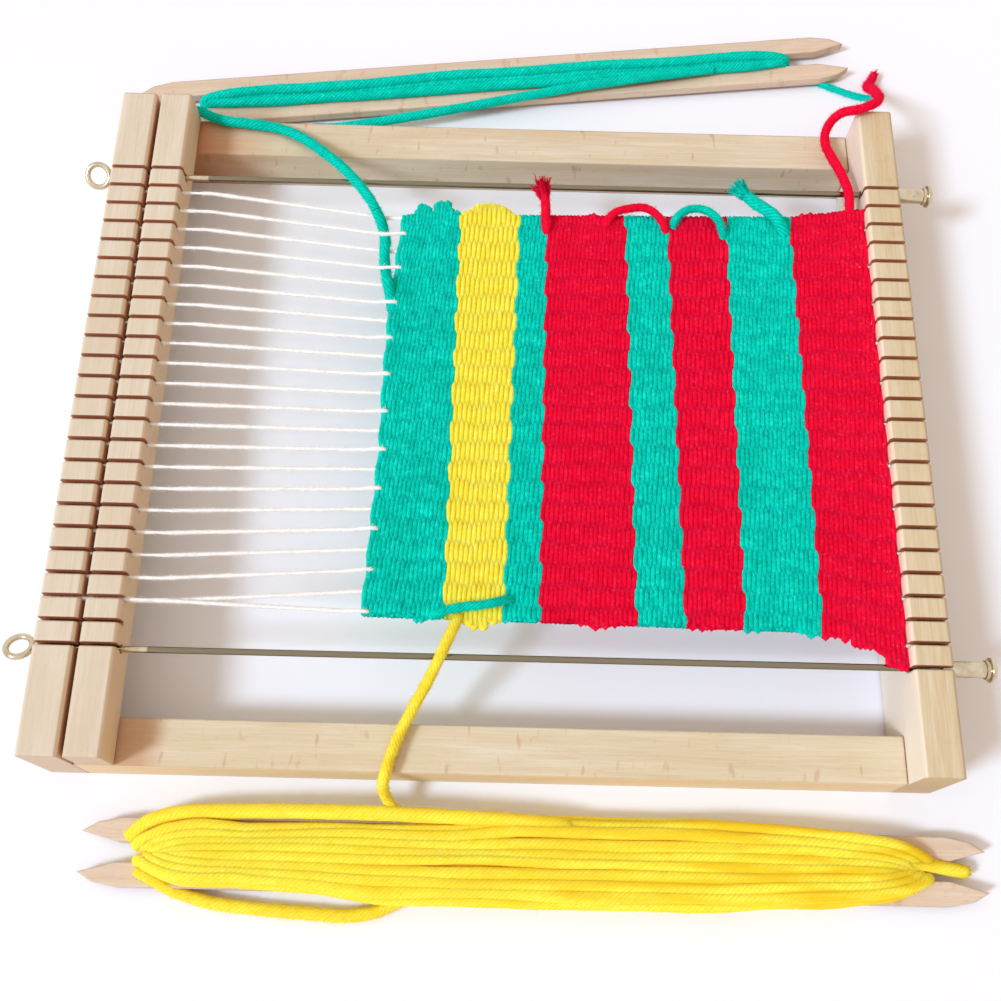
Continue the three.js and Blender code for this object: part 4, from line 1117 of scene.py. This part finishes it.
def finishBody(body, name, material, sharp):
    bmesh.ops.recalc_face_normals(body, faces=body.faces)
    mesh = bpy.data.meshes.new(name)
    body.to_mesh(mesh)
    body.free()
    mesh.shade_smooth()
    mesh.set_sharp_from_angle(angle=math.radians(sharp))
    piece = linked(name, mesh)
    dress(piece, material)
    return piece


def addMetal():
    for end in ("back", "front"):
        y, z = metal["y"][end], metal["rodZ"]
        tilt = math.radians(metal["tilt"][end])
        radius = metal["ringRadius"]
        rod = bmesh.new()
        angles = [step / 56 * math.tau for step in range(56)]
        eye = [at(metal["eyeX"] + radius * math.cos(a), y + radius * math.sin(a) * math.cos(tilt),
                  z + radius * math.sin(a) * math.sin(tilt)) for a in angles]
        sweptBody(rod, eye, metal["wire"] * mm, 16, True)
        shank = [at(x, y, z) for x in (metal["eyeX"] + radius, 60, 140, 220, metal["barrelLeft"] + 3)]
        sweptBody(rod, shank, metal["rod"] * mm, 20, False)
        settle(finishBody(rod, end + "_rod_bright", nickel, 40), end + "_rod", end + "_rod")

        left = metal["barrelLeft"] + metal["nutOut"][end]
        seat = left + metal["barrelLength"]
        barrel, head, thick = metal["barrel"], metal["head"], metal["headThickness"]
        nut = bmesh.new()
        turnedBody(nut, [
            (0, left), (barrel - 0.3, left), (barrel, left + 0.3), (barrel, seat - 1.5),
            (barrel + 0.5, seat - 1.3), (barrel + 0.5, seat - 0.2), (head - 0.3, seat - 0.1),
            (head, seat + 0.2), (head, seat + 0.8), (head - 0.5, seat + 1.3), (head * 0.72, seat + 1.9),
            (head * 0.4, seat + thick - 0.2), (0, seat + thick)], y, z, 40)
        settle(finishBody(nut, end + "_nut_bright", nickel, 50), end + "_nut", end + "_nut")


addMetal()
print("stage: rods and nuts")

# Wood keeps the solids' shapes
for node, finish in {
    "outer_bar": "bar_beech", "right_bar": "right_beech", "spacer_bar": "bar_beech",
    "back_rail": "back_rail_beech", "front_rail": "front_rail_beech",
    "yellow_shuttle": "stick_beech", "green_shuttle": "turned_stick_beech",
}.items():
    dress(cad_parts[node], wood[finish])
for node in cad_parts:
    if "dowel" in node:
        dress(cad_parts[node], wood["stick_beech"])
print("stage: wood and metal")

# Pale table, soft light from the left and a bright room
light = {
    "keyStrength": 2.0, "keyTurn": (46.0, 29.0), "keyAngle": 13.0, "key": (0.83, 1.0, 1.16), "room": 0.9,
    "rise": (0.45, 1.05), "leftward": 0.22, "nearward": 0.14, "low": (1.0, 0.74, 0.54, 1),
    "high": (1.0, 0.82, 0.66, 1),
}
tableFacts = {"half": 3.0, "tone": colour(240, 244, 255), "roughness": 0.7, "shine": 0.2}


def addTable():
    half = tableFacts["half"]
    mesh = bpy.data.meshes.new("table")
    corners = [(-half, -half, 0), (half, -half, 0), (half, half, 0), (-half, half, 0)]
    mesh.from_pydata(corners, [], [(0, 1, 2, 3)])
    table = linked("table", mesh)
    material, tree, surface, place = newMaterial("pale_table")
    wire(tree, surface, {"Base Color": tableFacts["tone"], "Roughness": tableFacts["roughness"],
                         "Specular IOR Level": tableFacts["shine"]})
    dress(table, material)


def addLight():
    sun = bpy.data.lights.new("key", "SUN")
    sun.energy = light["keyStrength"]
    sun.color = light["key"]
    sun.angle = math.radians(light["keyAngle"])
    steep, heading = (math.radians(angle) for angle in light["keyTurn"])
    level = math.sin(steep)
    aim = Vector((level * math.cos(heading), level * math.sin(heading), -math.cos(steep)))
    lamp = linked("key", sun)
    lamp.rotation_mode = "QUATERNION"
    lamp.rotation_quaternion = aim.to_track_quat("-Z", "Y")

    world = bpy.data.worlds.new("room")
    world.use_nodes = True
    bpy.context.scene.world = world
    sky = world.node_tree
    axes = parted(sky, addNode(sky, "ShaderNodeTexCoord").outputs["Generated"])
    rise = ranged(sky, axes[2], 0.0, 0.9, *light["rise"])
    aside = weighed(sky, (axes[0], -light["leftward"]), (axes[1], -light["nearward"]))
    glow = maths(sky, "MULTIPLY", maths(sky, "ADD", rise, aside), light["room"])
    walls = blendColours(sky, ranged(sky, axes[2], 0.0, 0.8), light["low"], light["high"])
    room = sky.nodes["Background"]
    wire(sky, room, {"Color": walls, "Strength": glow})
    plain = addNode(sky, "ShaderNodeBackground", {"Color": (1, 1, 1, 1), "Strength": 1.0})
    ray = addNode(sky, "ShaderNodeLightPath").outputs
    seen = maths(sky, "ADD", ray["Is Camera Ray"], ray["Is Glossy Ray"])
    seen = maths(sky, "MINIMUM", maths(sky, "ADD", seen, ray["Is Transmission Ray"]), 1.0)
    both = addNode(sky, "ShaderNodeMixShader", {0: seen, 1: room.outputs[0], 2: plain.outputs[0]})
    wire(sky, sky.nodes["World Output"], {"Surface": both.outputs[0]})


addTable()
addLight()
bpy.context.scene.view_settings.view_transform = "Standard"
print("stage: table and light")
